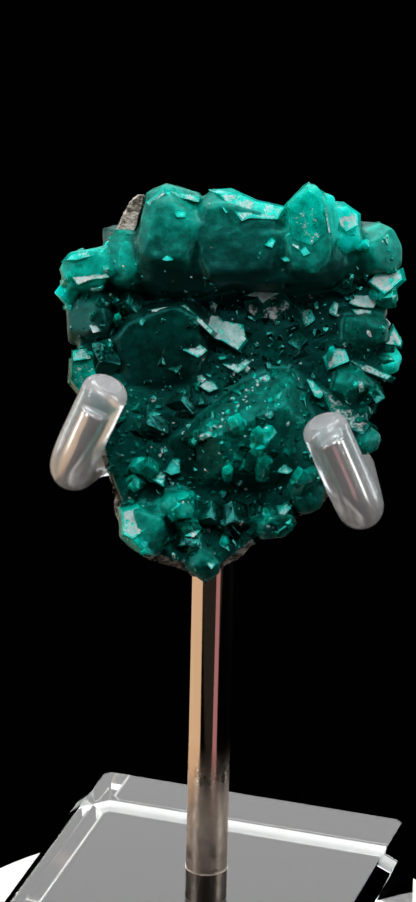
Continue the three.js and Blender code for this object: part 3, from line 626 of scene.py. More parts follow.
# Flat faces: corners, the way it looks, tone, and how pale its etched front is, the paleness also a painted
# glint.
FACETS = [
    (((-0.9, 15.1), (0.45, 15.2), (2.0, 14.5), (4.25, 14.0), (3.7, 13.05), (1.55, 13.15), (0.9, 12.9),
     (0.2, 13.9)), (0.1, 0.42, 1), 0.9, 0.62),
    (((8.3, 14.25), (9.1, 14.2), (10.1, 13.5), (10.1, 12.6), (9.2, 12.1), (8.8, 12.4)), (0.1, 0.38, 1),
     0.95, 0.8),
    (((11.1, 8.2), (11.8, 9.0), (12.6, 8.9), (13.5, 9.15), (13.7, 8.4), (12.3, 7.2)), (0.1, 0.33, 1),
     0.85, 0.8),
    (((9.5, 6.5), (9.9, 7.2), (11.6, 7.1), (11.9, 6.9), (11.4, 6.1), (10.2, 6.25)), (0.05, 0.36, 1),
     0.7, 1.0),
    (((9.7, 6.05), (11.4, 6.0), (11.2, 5.6), (10, 5.6)), (0.1, 0.3, 1), 0.6, 0.85),
    (((7.9, 6.0), (8.3, 6.7), (8.7, 6.5), (8.5, 5.4), (7.9, 5.7)), (0.0, 0.36, 1), 0.5, 0.55),
    (((6.7, 6.5), (6.95, 6.7), (7.1, 6.1), (6.8, 6.0)), (0.05, 0.36, 1), 0.6, 0.55),
    (((1.3, 7.1), (2.4, 7.7), (3.9, 7.6), (4.0, 7.3), (3.0, 6.8), (2.6, 6.5), (2.2, 7.0)), (0.0, 0.42, 1),
     0.6, 1.0),
    (((1.2, 6.6), (2.2, 6.9), (4.2, 7.3), (4.9, 6.4), (3.9, 5.1), (1.6, 5.2)), (0.0, -0.15, 1), 0.42, 0.45),
    (((-2.3, 4.9), (-1.4, 6.0), (-0.6, 5.1), (1.0, 4.8), (1.25, 3.6), (0.6, 2.8), (-0.6, 3.5), (-1.2, 3.7)),
     (0.03, 0.37, 1), 0.8, 1.0),
    (((-3.8, 2.8), (-2.4, 3.25), (-1.8, 2.7), (-2.55, 2.15)), (0.0, 0.33, 1), 0.5, 0.75),
    (((-0.6, 1.65), (0.7, 1.75), (1.7, 2.5), (2.2, 2.45), (1.1, 1.25), (0.6, 0.9)), (0.04, 0.34, 1),
     0.5, 0.65),
    (((-1, 2.2), (-0.4, 2.4), (-0.2, 2.1), (-0.8, 1.95)), (0.0, 0.36, 1), 0.5, 0.35),
    (((-2.45, -0.1), (-1.85, 0.4), (-1.3, 0.3), (-0.95, -0.3), (-1.7, -0.6)), GLINT, 0.5, 1.0),
    (((-12.5, 2.7), (-11.5, 2.9), (-11.1, 2.1), (-12.5, 1.9)), (-0.05, 0.34, 1), 0.7, 0.95),
    (((-12.6, 1.8), (-11, 2), (-10.6, 0.4), (-12, -0.5), (-12.7, 0.4)), (-0.3, 0.0, 1), 0.62, 0.35),
    (((7.4, 2.2), (8.3, 2.9), (9.2, 2.85), (9.5, 1.9), (7.85, 1.2)), (0.03, 0.35, 1), 0.7, 0.75),
    (((9.6, 1.9), (10.9, 1.7), (12.8, 0.7), (12.5, 0.4), (10.6, 1.1)), (0.15, 0.35, 1), 0.5, 0.65),
    (((12.4, 3.3), (13.1, 4.6), (13.7, 3.5), (13.6, 3.1)), (0.25, 0.3, 1), 0.85, 0.75),
    (((-8.65, -10.05), (-7.4, -9.65), (-5.95, -10.95), (-7.75, -12.25), (-8.5, -11.9)), (-0.03, 0.33, 1),
     0.8, 0.8),
    (((-5.2, -6.9), (-4.6, -5.9), (-3.95, -5.8), (-4, -7), (-4.7, -7.2)), GLINT, 0.6, 0.45),
    (((-6.4, -7.4), (-5.6, -6.9), (-5.15, -7.2), (-5.3, -8.1)), GLINT, 0.6, 0.45),
    (((6.1, 0.45), (6.6, 0.35), (7.5, -0.6), (7.2, -1.1), (6.7, -0.9)), GLINT, 0.7, 0.55),
    (((6.9, 0.2), (8.6, -1.0), (11.2, -3.1), (10.6, -4.0), (8.4, -2.9)), (0.15, 0.22, 1), 0.45, 0.5),
    (((3.8, -9.8), (4.6, -9.3), (5, -9.6), (4.5, -10.3), (3.9, -10.5)), GLINT, 0.7, 0.65),
    (((2.1, -9.8), (2.35, -9.55), (2.5, -10), (2.3, -10.2)), GLINT, 0.5, 0.35),
    (((0.4, -7.85), (0.9, -7.6), (1.1, -7.8), (0.7, -8.1)), GLINT, 0.6, 0.45),
    (((-0.95, -8.6), (-0.6, -8.4), (-0.35, -8.65), (-0.7, -8.8)), GLINT, 0.6, 0.35),
    (((3.75, -7), (3.95, -6), (5, -6.8), (4.6, -7.1)), (0.05, 0.28, 1), 0.6, 0.65),
    (((-3.6, -12), (-2.9, -11.65), (-2.35, -11.55), (-2.9, -12.15)), GLINT, 0.7, 0.65),
    (((-0.85, -12.8), (-0.25, -12.55), (0, -13.3), (-0.4, -13.05)), GLINT, 0.6, 0.35),
    (((-1.95, -14.2), (-1.5, -13.95), (-1.1, -14.3), (-1.5, -14.7)), GLINT, 0.5, 0.55),
    (((2.7, 11), (3.3, 11.6), (3.6, 11.3), (3.3, 10.8)), GLINT, 0.8, 0.4),
    (((4, 9.95), (4.4, 10.15), (4.85, 9.75), (4.3, 9.7)), GLINT, 0.7, 0.3),
    (((5.5, 10.6), (5.9, 10.95), (6.3, 10.35), (5.8, 10.1)), GLINT, 0.7, 0.4),
    (((4.8, 11.2), (5.4, 11.0), (5.5, 10.6), (4.9, 10.9)), (0.02, 0.33, 1), 0.7, 0.6),
    (((-4.4, 13.5), (-4.0, 13.75), (-3.4, 13.6), (-3.6, 13.2), (-4.2, 13.2)), GLINT, 0.8, 0.5),
    (((-5.4, 15.2), (-5.0, 15.4), (-4.6, 15.2), (-5.0, 15.0)), GLINT, 0.8, 0.3),
    (((-5.4, 9.85), (-4.9, 10.3), (-4.5, 9.8), (-5.1, 9.75)), GLINT, 0.8, 0.4),
    (((-0.7, 14.05), (-0.5, 14.0), (-0.2, 13.6), (-0.35, 13.5)), GLINT, 0.8, 0.2),
    (((-7.3, 5), (-7, 5.35), (-6.7, 5.1), (-7, 4.65)), GLINT, 0.4, 0.45),
    (((-9.3, 6.8), (-9, 7), (-8.7, 6.7), (-9, 6.45)), GLINT, 0.5, 0.45),
    (((-11.2, 4.7), (-10.6, 4.9), (-10.2, 4.3), (-10.9, 4.1)), (-0.05, 0.3, 1), 0.4, 1.0),
    (((-13.0, 9.9), (-12.6, 10.4), (-9.9, 10.85), (-10.1, 10.45), (-12.2, 9.9)), (0, 0.4, 1), 0.85, 0.6),
    (((-12.5, 8.5), (-11.2, 8.7), (-9.9, 9.0), (-9.6, 9.2), (-9.6, 8.5), (-11.2, 8.3), (-12.1, 7.9)),
     (0, 0.36, 1), 0.7, 0.9),
    (((7.25, 14.8), (7.42, 14.8), (7.95, 12.0), (7.78, 11.9)), (0.3, 0.2, 1), 0.8, 0.8),
    (((-6.4, 6.0), (-3.6, 6.35), (-3.4, 6.05), (-6.2, 5.75)), (0, 0.3, 1), 0.5, 0.8),
    (((-3.5, 6.3), (-1.3, 4.3), (-1.55, 4.0), (-3.8, 6.0)), (0.1, 0.25, 1), 0.5, 0.8),
    (((5.5, 5.9), (6.4, 6.2), (6.8, 5.2), (6.0, 4.6)), (0.1, 0.3, 1), 0.3, 0.45),
    (((4.6, 3.4), (5.4, 4.3), (6.2, 3.6), (5.5, 2.8)), (-0.2, 0.2, 1), 0.25, 0.3),
    (((2.6, 2.3), (3.6, 3.5), (4.4, 2.9), (3.7, 1.8)), (0.2, 0.1, 1), 0.25, 0.2),
    (((4.75, 13.9), (6.2, 15.3), (7.1, 14.7), (7.5, 11.9), (6.4, 11.0), (4.9, 11.5)), (-0.05, 0.04, 1),
     0.76, 0.3),
    (((-6.7, 14.4), (-5.2, 15.55), (-5.1, 15.1), (-6.4, 14.1)), (-0.1, 0.4, 1), 0.75, 0.55),
    (((-5.2, 15.55), (-2.4, 14.85), (-2.5, 14.45), (-5.1, 15.1)), (0.1, 0.4, 1), 0.75, 0.6),
]

# Outline of the stone seen from the front, as across and height, clockwise from the left.
OUTLINE = [
    (-13.6, 7.4), (-13.2, 10.1), (-10.8, 10.8), (-9.7, 12.7), (-8.2, 13.3), (-7, 15.4), (-4.8, 15.9),
    (-2.2, 15.2), (0, 15.6), (2.4, 14.6), (4.4, 14.2), (6.3, 15.8), (8.2, 15), (10.1, 13.7), (12.4, 13),
    (13.7, 11), (13.8, 8), (13.1, 5.8), (13.8, 3.2), (12.4, 0), (11.7, -2.4), (11.9, -4.6),
    (10.6, -6.2), (7.7, -8.9), (6.6, -10.4), (4.8, -11.8), (2.6, -12.6), (0.4, -14.2), (-2.1, -16),
    (-4.2, -14.9), (-6.6, -14.1), (-8.6, -12.6), (-9.1, -10.2), (-10, -7.8), (-10.8, -5), (-11.8, -2),
    (-12.7, 0.6), (-12.9, 4.5),
]
OUTLINE_MIDDLE = Vector((0.3, 1.2))


def inset_outline(distance):
    """The outline moved towards the stone's middle."""
    moved = []
    for point in OUTLINE:
        away = Vector(point) - OUTLINE_MIDDLE
        moved.append(tuple(OUTLINE_MIDDLE + away.normalized() * (away.length - distance)))
    return moved


def outline_slab(outline, back, front):
    """A flat slab of the outline between two distances out."""
    select_none()
    bpy.ops.mesh.primitive_circle_add(vertices=len(outline), fill_type="NGON")
    slab = bpy.context.object
    for vertex, point in zip(slab.data.vertices, outline):
        vertex.co = stone_point(point[0], point[1], front)
    edit_all(slab)
    bpy.ops.mesh.extrude_region_move(TRANSFORM_OT_translate={"value": (0, front - back, 0)})
    bpy.ops.mesh.select_all(action="SELECT")
    bpy.ops.mesh.normals_make_consistent(inside=False)
    object_mode()
    return slab


def medium_size(luck, across, height):
    return 0.3 + 0.75 * luck.random() ** 1.5 if height < 8.5 or abs(across) > 9 else 0


def fine_size(luck, across, height):
    if height > 7 and abs(across) < 9:
        return luck.uniform(0.12, 0.26)
    return 0.1 + 0.3 * luck.random() ** 2


# Half the width and half the height that hold the whole outline.
HALF_SPAN = (14, 16.2)
# The small crystals: length in half widths, how far they stray from square to the surface, how far their tips
# stand out of it, and the share that glints, turned to mirror the main light and painted pale as a glint.
# Those that are scattered: tries, width of the worn edges, half width, how close they stand, how much lighter
# they are at the stone's edge as a painted glow, and how their tones spread.
MEDIUM = {"length": 3.4, "spread": 0.7, "stands_out": 0.5, "glint": 0.05, "tries": 3000, "worn": 0.07,
          "size": medium_size, "spacing": 0.56, "painted_edge_glow": 1, "contrast": 0.32, "darker": 0.5}
FINE = {"length": 3.0, "spread": 0.7, "stands_out": 0.5, "glint": 0.12, "tries": 5200, "worn": 0,
        "size": fine_size, "spacing": 0.65, "painted_edge_glow": 0, "contrast": 0.45, "darker": 0.25}
# Those round the rim start this far out, from the back to the front.
RIM = {"length": 3.0, "spread": 0.3, "stands_out": 0.2, "glint": 0, "tries": 260, "spacing": 0.95,
       "out": (-1.2, 1.8), "half_width": (0.4, 0.85)}
# Those along the ridge stray from a line between two ends.
RIDGE = {"length": 3.0, "spread": 0.6, "stands_out": 0.3, "glint": 0.5, "count": 90,
         "from": (-2.2, -4.3), "to": (2.8, 0.6), "stray": 0.22, "half_width": (0.09, 0.24)}
MASTERS = 8


def make_masters(luck, kind):
    """A few uneven crystals that the small ones are copied from."""
    masters = []
    for _ in range(MASTERS):
        crystal = cut_crystal(luck, kind["length"], kind["worn"], unevenness=0.3)
        masters.append(crystal.data)
        bpy.data.objects.remove(crystal)
    return masters


def separate_groups(places):
    """Sorts crystals into groups whose members stay clear of each other."""
    groups = []
    for place in places:
        for group in groups:
            if all((place[0] - other[0]).length > place[1] + other[1] for other in group):
                group.append(place)
                break
        else:
            groups.append([place])
    return groups


def join_small(body, placed, masters):
    """Joins copies of the masters to the body, a group of separate crystals at a time."""
    for group in separate_groups(placed):
        bundle = bmesh.new()
        layers = [bundle.faces.layers.float.new(name) for name in TRAITS]
        for _, _, master, matrix, tone, pale_etch_and_painted_glint in group:
            start = len(bundle.faces)
            copy = masters[master].copy()
            copy.transform(matrix)
            bundle.from_mesh(copy)
            bpy.data.meshes.remove(copy)
            bundle.faces.ensure_lookup_table()
            bundle.normal_update()
            tip = matrix.translation
            for face in bundle.faces[start:]:
                # Faces turned up are painted lighter, as if lit from above.
                base = tone + 0.1 * face.normal.z - PAINTED_LIGHT_RISE * tip.z + PAINTED_ROOT_SHADE * tip.y
                for layer, value in zip(layers, (base, PAINTED_LIGHT_RISE, pale_etch_and_painted_glint, 0.0, 0.2)):
                    face[layer] = value
        mesh = bpy.data.meshes.new("bundle")
        bundle.to_mesh(mesh)
        bundle.free()
        combine(body, mesh_object("bundle", mesh), "UNION")


def traits_of(mesh):
    """The traits of each face."""
    values = []
    for name in TRAITS:
        column = [0.0] * len(mesh.polygons)
        mesh.attributes[name].data.foreach_get("value", column)
        values.append(column)
    return list(zip(*values))


def inside(outline, across, height):
    crossings = 0
    for (x1, y1), (x2, y2) in zip(outline, outline[1:] + outline[:1]):
        if (y1 > height) != (y2 > height) and across < x1 + (height - y1) / (y2 - y1) * (x2 - x1):
            crossings += 1
    return crossings % 2 == 1


def small_place(luck, hit, normal, radius, kind, tone):
    """Where a small crystal grows from a point of the surface."""
    # Crystals that glint are turned to mirror the main light and painted pale as a glint too.
    pale_etch_and_painted_glint = luck.uniform(0.3, 0.9) if luck.random() < kind["glint"] else 0.0
    if pale_etch_and_painted_glint > 0:
        matrix, axis = glinting_matrix(luck, hit, normal, radius)
    else:
        wander = Vector((luck.uniform(-1, 1), luck.uniform(-1, 1), luck.uniform(-1, 1))) * kind["spread"]
        axis = (normal + Vector((0, -0.5, 0)) + wander).normalized()
        matrix = crystal_matrix(hit, axis, radius, luck.uniform(0.85, 1.2), luck.uniform(0, 360))
    matrix = Matrix.Translation(axis * radius * kind["stands_out"]) @ matrix
    middle = hit + axis * radius * (kind["stands_out"] - kind["length"] / 2)
    reach = radius * math.hypot(kind["length"] / 2, 1.2)
    return (middle, reach, luck.randrange(MASTERS), matrix, tone, pale_etch_and_painted_glint)


def small_tone(kind, across, height, below, chance):
    # Painted glow: lighter towards the stone's sides and its lower edge, where the crystals are thin.
    edge = 0.12 * clamp((abs(across) - 8) / 5) + 0.06 * clamp(-height / 9)
    return clamp(below + kind["painted_edge_glow"] * edge + kind["contrast"] * (chance - kind["darker"]))


def too_close(hit, radius, taken, spacing):
    return any((hit - other).length < spacing * (radius + reach) for other, reach in taken)


def scatter(luck, body, masters, kind):
    """Grows small crystals over the face wherever the body below isn't kept bare."""
    tree, traits = tree_of(body.data), traits_of(body.data)
    outline = inset_outline(0.2)
    placed, taken = [], []
    for _ in range(kind["tries"]):
        across, height = (luck.uniform(-half, half) for half in HALF_SPAN)
        radius = kind["size"](luck, across, height)
        chance, shade_luck = luck.random(), luck.random()
        if radius <= 0 or not inside(outline, across, height):
            continue
        hit, normal, index = seen(tree, across, height)
        if hit is None or chance < traits[index][-1] or too_close(hit, radius, taken, kind["spacing"]):
            continue
        taken.append((hit, radius))
        start, rise = traits[index][:2]
        # The body's tone here, with its painted light up the face and painted shade towards the root.
        below = start + rise * hit.z - PAINTED_ROOT_SHADE * hit.y
        tone = small_tone(kind, across, height, below, shade_luck)
        placed.append(small_place(luck, hit, normal, radius, kind, tone))
    join_small(body, placed, masters)


def rim_scatter(luck, body, masters):
    """Grows small crystals round the edge of the crust, seen from the sides."""
    tree = tree_of(body.data)
    placed, taken = [], []
    for _ in range(RIM["tries"]):
        angle, out = luck.uniform(0, 2 * math.pi), luck.uniform(*RIM["out"])
        radius = luck.uniform(*RIM["half_width"])
        tone = 0.42 + 0.35 * luck.random()
        away = Vector((math.cos(angle), 0, math.sin(angle)))
        start = stone_point(*OUTLINE_MIDDLE, out) + away * BESIDE
        hit, normal, _, _ = tree.ray_cast(start, -away)
        if hit is None or too_close(hit, radius, taken, RIM["spacing"]):
            continue
        taken.append((hit, radius))
        placed.append(small_place(luck, hit, (normal + away).normalized(), radius, RIM, tone))
    join_small(body, placed, masters)


def ridge_crystals(luck, body, masters):
    """Small crystals along the ridge across the lower middle, half of them pale as etched faces with a
    painted glint.
    """
    tree = tree_of(body.data)
    placed = []
    for _ in range(RIDGE["count"]):
        share = luck.random()
        across, height = (first + (last - first) * share + luck.gauss(0, RIDGE["stray"])
                          for first, last in zip(RIDGE["from"], RIDGE["to"]))
        hit, normal, _ = seen(tree, across, height)
        if hit is not None:
            radius = luck.uniform(*RIDGE["half_width"])
            placed.append(small_place(luck, hit, normal, radius, RIDGE, 0.6 + 0.3 * share))
    join_small(body, placed, masters)


def make_crystals():
    luck = random.Random(11)
    body = soft_body(luck)
    for row in LARGE_CRYSTALS:
        combine(body, large_crystal(luck, *row), "UNION")
    tree = tree_of(body.data)
    for row in FACETS:
        combine(body, facet(tree, *row), "UNION")
    medium = make_masters(luck, MEDIUM)
    scatter(luck, body, medium, MEDIUM)
    rim_scatter(luck, body, medium)
    fine = make_masters(luck, FINE)
    ridge_crystals(luck, body, fine)
    scatter(luck, body, fine, FINE)
    trim_back(body)
    return body


def trim_back(body):
    """Cuts the roots off flat where the crystals meet the rock."""
    combine(body, add_box((60, 30, 60), (0, 15 - CRUST["back"], 0)), "DIFFERENCE")
    body.data.attributes.remove(body.data.attributes["bare"])


# Host rock


def rock_ridge():
    """The strip of bare rock at the upper left, layered light and dark."""
    corners = ((-9.6, 12.0), (-8.8, 11.2), (-7.6, 11.8), (-6.9, 14.0), (-6.8, 15.3), (-7.6, 15.0),
               (-8.5, 13.6))
    return faced_block(corners, 2.6, (-0.3, 0.1, 1), 5, 1)


def make_rock():
    select_none()
    bpy.ops.mesh.primitive_circle_add(vertices=len(OUTLINE), fill_type="NGON")
    rock = bpy.context.object
    edit_all(rock)
    for _ in ROCK_RINGS[1:]:
        bpy.ops.mesh.extrude_region_move(TRANSFORM_OT_translate={"value": (0, 0, 1)})
    object_mode()
    ring_size = len(OUTLINE)
    layers = {}
    for vertex in rock.data.vertices:
        layers.setdefault(round(vertex.co.z), []).append(vertex)
    for level, (inset, out) in enumerate(ROCK_RINGS):
        points = inset_outline(inset)
        for vertex in layers[level]:
            step = round(math.atan2(vertex.co.y, vertex.co.x) / (2 * math.pi) * ring_size) % ring_size
            point = Vector(points[-step % ring_size])
            # The upper part is drawn in, so that the crystals hide it from the front.
            hidden = 1.1 * clamp((point.y + 4) / 4)
            away = (point - OUTLINE_MIDDLE).normalized()
            vertex.co = stone_point(*(point - away * hidden), out)
    edit_all(rock)
    bpy.ops.mesh.normals_make_consistent(inside=False)
    object_mode()
    combine(rock, rock_ridge(), "UNION")
    even_out(rock, 0.24)
    push_out(rock, "lumps", 3.6, 1.0, 0.52)
    push_out(rock, "grain", 0.45, 0.45, 0.6)
    apply_all(rock)
    return rock


# Stand


# The block's hole is this much wider than the post.
HOLE_ROOM = 0.08


def make_base():
    block = add_box((BASE["side"], BASE["side"], BASE["height"]), (0, 0, BASE["height"] / 2))
    choose(block, "EDGE", lambda edge: not is_level(block, edge))
    bpy.ops.mesh.bevel(offset=BASE["corner"], segments=1, affect="EDGES")
    choose(block, "EDGE", lambda edge: is_level(block, edge))
    bpy.ops.mesh.bevel(offset=BASE["bevel"], segments=1, affect="EDGES")
    bpy.ops.mesh.select_all(action="SELECT")
    bpy.ops.mesh.bevel(offset=BASE["fine_edge"], segments=3, affect="EDGES")
    object_mode()
    depth = BASE["height"] - POST["foot"] + GAP
    select_none()
    bpy.ops.mesh.primitive_cylinder_add(vertices=64, radius=POST["radius"] + HOLE_ROOM, depth=depth + 1,
                                        location=(0, 0, BASE["height"] - depth / 2 + 0.5))
    combine(block, bpy.context.object, "DIFFERENCE")
    smooth(block, 30)
    even = block.modifiers.new("even", "WEIGHTED_NORMAL")
    even.keep_sharp = True
    apply_all(block)
    return block


def make_post():
    select_none()
    height = POST["top"] - POST["foot"]
    bpy.ops.mesh.primitive_cylinder_add(vertices=96, radius=POST["radius"], depth=height,
                                        location=(0, 0, POST["foot"] + height / 2))
    rod = bpy.context.object
    bpy.ops.object.transform_apply(location=True, rotation=True, scale=True)
    choose(rod, "EDGE", lambda edge: is_level(rod, edge))
    bpy.ops.mesh.bevel(offset=POST["edge"], segments=4, affect="EDGES")
    object_mode()
    return rod


# Each arm: the corners of its middle line, how far its bends reach from the inner corners, and how much of
# the sleeve's end the wire leaves empty.
ARMS = {
    "left": {
        "corners": [Vector((-0.4, 0, ARM_HEIGHT)), Vector((-10, -0.1, ARM_HEIGHT)),
                    on_stand(-13.05, -7.12, 1.2), on_stand(-9.57, 0.03, 6.2)],
        "bends": [3.2, 4.5],
        "wire_end": 2.6,
    },
    "right": {
        "corners": [Vector((0.4, 0, ARM_HEIGHT)), Vector((11, -0.1, ARM_HEIGHT)),
                    on_stand(10.6, -10.45, 1.8), on_stand(7.2, -2.9, 6.3)],
        "bends": [3.2, 3.2],
        "wire_end": 1.6,
    },
}


BEND_STEPS = 24


def bent_line(arm, step=0.25):
    """Close points along straight stretches with rounded corners between them."""
    corners = arm["corners"]
    points = [corners[0]]
    for i, bend in enumerate(arm["bends"], start=1):
        corner = corners[i]
        before = corner + (corners[i - 1] - corner).normalized() * bend
        after = corner + (corners[i + 1] - corner).normalized() * bend
        for k in range(BEND_STEPS + 1):
            t = k / BEND_STEPS
            points.append(before * (1 - t) ** 2 + corner * 2 * t * (1 - t) + after * t ** 2)
    points.append(corners[-1])
    even = [points[0]]
    for target in points[1:]:
        while (target - even[-1]).length > step * 1.5:
            even.append(even[-1] + (target - even[-1]).normalized() * step)
        even.append(target)
    return even


def part_of_line(points, start, end):
    """The stretch of a line between two distances along it."""
    travelled, kept = 0.0, []
    for a, b in zip(points, points[1:]):
        length = (b - a).length
        for distance in (start, end):
            if travelled < distance <= travelled + length:
                kept.append(a.lerp(b, (distance - travelled) / length))
        travelled += length
        if start < travelled < end:
            kept.append(b)
    return kept


def line_length(points):
    return sum((b - a).length for a, b in zip(points, points[1:]))


END_STEPS = 7


def swept(name, points, radius, rounding):
    """A round rod along a line, with the far end rounded over."""
    curve = bpy.data.curves.new(name, "CURVE")
    curve.dimensions = "3D"
    curve.bevel_depth = radius
    curve.bevel_resolution = 8
    curve.use_fill_caps = True
    heading = (points[-1] - points[-2]).normalized()
    stops = [(point, 1.0) for point in part_of_line(points, 0.001, line_length(points) - rounding)]
    for k in range(1, END_STEPS + 1):
        angle = math.radians(90 * k / END_STEPS)
        place = points[-1] - heading * rounding * (1 - math.sin(angle))
        stops.append((place, (radius - rounding * (1 - math.cos(angle))) / radius))
    spline = curve.splines.new("POLY")
    spline.points.add(len(stops) - 1)
    for knot, (point, share) in zip(spline.points, stops):
        knot.co = (*point, 1)
        knot.radius = share
    piece = bpy.data.objects.new(name, curve)
    bpy.context.collection.objects.link(piece)
    pick(piece)
    bpy.ops.object.convert(target="MESH")
    piece = bpy.context.object
    edit_all(piece)
    bpy.ops.mesh.remove_doubles(threshold=1e-4)
    bpy.ops.mesh.normals_make_consistent(inside=False)
    object_mode()
    return piece


def make_wire(arm):
    line = bent_line(arm)
    return swept("wire", part_of_line(line, 0.01, line_length(line) - arm["wire_end"]), WIRE_RADIUS, 0.3)


def make_sleeve(arm):
    line = bent_line(arm)
    length = line_length(line)
    covered = part_of_line(line, SLEEVE["start"], length - 0.001)
    sleeve = swept("sleeve", covered, SLEEVE["outer"], SLEEVE["rounding"])
    set_face_value(sleeve.data, "cut_end", 0.0)
    heading = (line[-1] - line[-2]).normalized()
    for polygon in sleeve.data.polygons:
        if polygon.normal.dot(heading) > 0.98:
            sleeve.data.attributes["cut_end"].data[polygon.index].value = 1.0
    hollow = part_of_line(line, SLEEVE["start"] - 0.5, length - arm["wire_end"] + GAP)
    combine(sleeve, swept("bore", hollow, SLEEVE["bore"], 0.4), "DIFFERENCE")
    return sleeve


# Materials


class Finish:
    """A material under construction: nodes are added by type and joined by name."""

    def __init__(self, name):
        self.material = bpy.data.materials.new(name)
        self.material.use_nodes = True
        self.tree = self.material.node_tree
        self.shader = self.tree.nodes["Principled BSDF"]
        self.output = self.tree.nodes["Material Output"]

    def node(self, kind, **values):
        made = self.tree.nodes.new(kind)
        for key, value in values.items():
            if hasattr(made, key):
                setattr(made, key, value)
            else:
                made.inputs[key.replace("_", " ")].default_value = value
        return made

    def link(self, source, target):
        self.tree.links.new(source, target)

    def set(self, **values):
        for key, value in values.items():
            self.shader.inputs[key.replace("_", " ")].default_value = value

    def place(self, scale=(1, 1, 1)):
        where = self.node("ShaderNodeTexCoord")
        mapping = self.node("ShaderNodeMapping")
        mapping.inputs["Scale"].default_value = scale
        self.link(where.outputs["Object"], mapping.inputs["Vector"])
        return mapping.outputs["Vector"]

    def noise(self, where, scale, detail=4.0, roughness=0.55):
        made = self.node("ShaderNodeTexNoise", Scale=scale, Detail=detail, Roughness=roughness)
        self.link(where, made.inputs["Vector"])
        return made.outputs["Fac"]

    def ramp(self, value, stops):
        made = self.node("ShaderNodeValToRGB")
        elements = made.color_ramp.elements
        while len(elements) < len(stops):
            elements.new(0.5)
        for element, (position, colour) in zip(elements, stops):
            element.position = position
            element.color = (*colour, 1)
        self.link(value, made.inputs["Fac"])
        return made.outputs["Color"]

    def along(self, where, direction):
        """How far a place lies along one of the stone's own directions, in millimetres from its middle."""
        made = self.node("ShaderNodeVectorMath", operation="DOT_PRODUCT")
        self.link(where, made.inputs[0])
        made.inputs[1].default_value = direction / MM
        return self.math("SUBTRACT", made.outputs["Value"], direction.dot(Vector(STONE_PLACE)))

    def range(self, value, low, high, start=0.0, end=1.0):
        made = self.node("ShaderNodeMapRange")
        made.inputs["From Min"].default_value = start
        made.inputs["From Max"].default_value = end
        made.inputs["To Min"].default_value = low
        made.inputs["To Max"].default_value = high
        self.link(value, made.inputs["Value"])
        return made.outputs["Result"]

    def math(self, how, a, b):
        made = self.node("ShaderNodeMath", operation=how)
        for socket, value in zip(made.inputs, (a, b)):
            if isinstance(value, (int, float)):
                socket.default_value = value
            else:
                self.link(value, socket)
        return made.outputs["Value"]

    def blend(self, share, first, second):
        made = self.node("ShaderNodeMix", data_type="RGBA")
        for name, value in (("Factor_Float", share), ("A_Color", first), ("B_Color", second)):
            self.link(value, next(socket for socket in made.inputs if socket.identifier == name))
        return next(socket for socket in made.outputs if socket.identifier == "Result_Color")

    def add_share(self, base, value, share):
        """A value that a share of another is added to."""
        return self.math("ADD", base, self.math("MULTIPLY", value, share))

    def feed(self, **sources):
        for key, source in sources.items():
            self.link(source, self.shader.inputs[key.replace("_", " ")])

    def bump(self, height, strength, distance):
        made = self.node("ShaderNodeBump", Strength=strength, Distance=distance)
        self.link(height, made.inputs["Height"])
        self.feed(Normal=made.outputs["Normal"])


def dioptase_finish():
    finish = Finish("dioptase")
    where = finish.place()
    tone, rise, pale_etch_and_painted_glint, worn = (finish.node("ShaderNodeAttribute", attribute_name=name).outputs["Fac"]
                              for name in ("tone", "rise", "pale_etch_and_painted_glint", "worn"))
    # Painted light and shade: the tone grows lighter up the stone's face and darker towards the roots.
    height = finish.along(where, STONE.to_3x3() @ Vector((0, 0, 1)))
    depth = finish.along(where, STONE.to_3x3() @ Vector((0, -1, 0)))
    lit = finish.add_share(tone, rise, height)
    lit = finish.add_share(lit, depth, PAINTED_ROOT_SHADE)
    lit = finish.math("ADD", lit, finish.range(finish.noise(where, 380, 8, 0.7), -0.45, 0.45))
    lit = finish.math("ADD", lit, finish.range(finish.noise(where, 1500, 6, 0.7), -0.36, 0.36))
    lit = finish.range(lit, -0.14, 1.0)
    green = finish.ramp(lit, [
        (0.0, (0.0, 0.008, 0.006)), (0.3, (0.0, 0.08, 0.058)), (0.6, (0.0, 0.33, 0.25)),
        (0.85, (0.0, 0.72, 0.58)), (1.0, (0.0, 0.96, 0.8)),
    ])
    # Etched patches, and on faces marked pale a painted glint, turn the colour pale.
    patches = finish.noise(where, 1300, 6, 0.75)
    etch_and_painted_glint = finish.range(finish.add_share(patches, pale_etch_and_painted_glint, 0.36), 0, 1, 0.68, 0.8)
    dust = finish.range(finish.noise(where, 1500, 3, 0.5), 0, 0.25, 0.72, 0.79)
    etch_and_painted_glint = finish.math("MAXIMUM", etch_and_painted_glint, dust)
    white = finish.ramp(patches, [(0.35, (0.26, 0.34, 0.33)), (0.62, (0.84, 0.86, 0.86))])
    finish.feed(Base_Color=finish.blend(etch_and_painted_glint, green, white))
    finish.set(Transmission_Weight=0.45, IOR=1.67, Subsurface_Weight=0.7, Subsurface_Scale=0.0008,
               Specular_Tint=(0.06, 0.8, 0.72, 1))
    finish.shader.inputs["Subsurface Radius"].default_value = (0.15, 1.0, 0.85)
    rough = finish.range(finish.noise(where, 1100, 3), 0.02, 0.2)
    rough = finish.add_share(rough, worn, 0.36)
    finish.feed(Roughness=finish.add_share(rough, etch_and_painted_glint, 0.2))
    growth = finish.add_share(finish.noise(where, 700, 4), patches, 0.35)
    finish.bump(growth, 0.45, 0.0002)
    absorb = finish.node("ShaderNodeVolumeAbsorption", Density=350.0)
    absorb.inputs["Color"].default_value = (0.0, 0.82, 0.72, 1)
    finish.link(absorb.outputs["Volume"], finish.output.inputs["Volume"])
    return finish.material


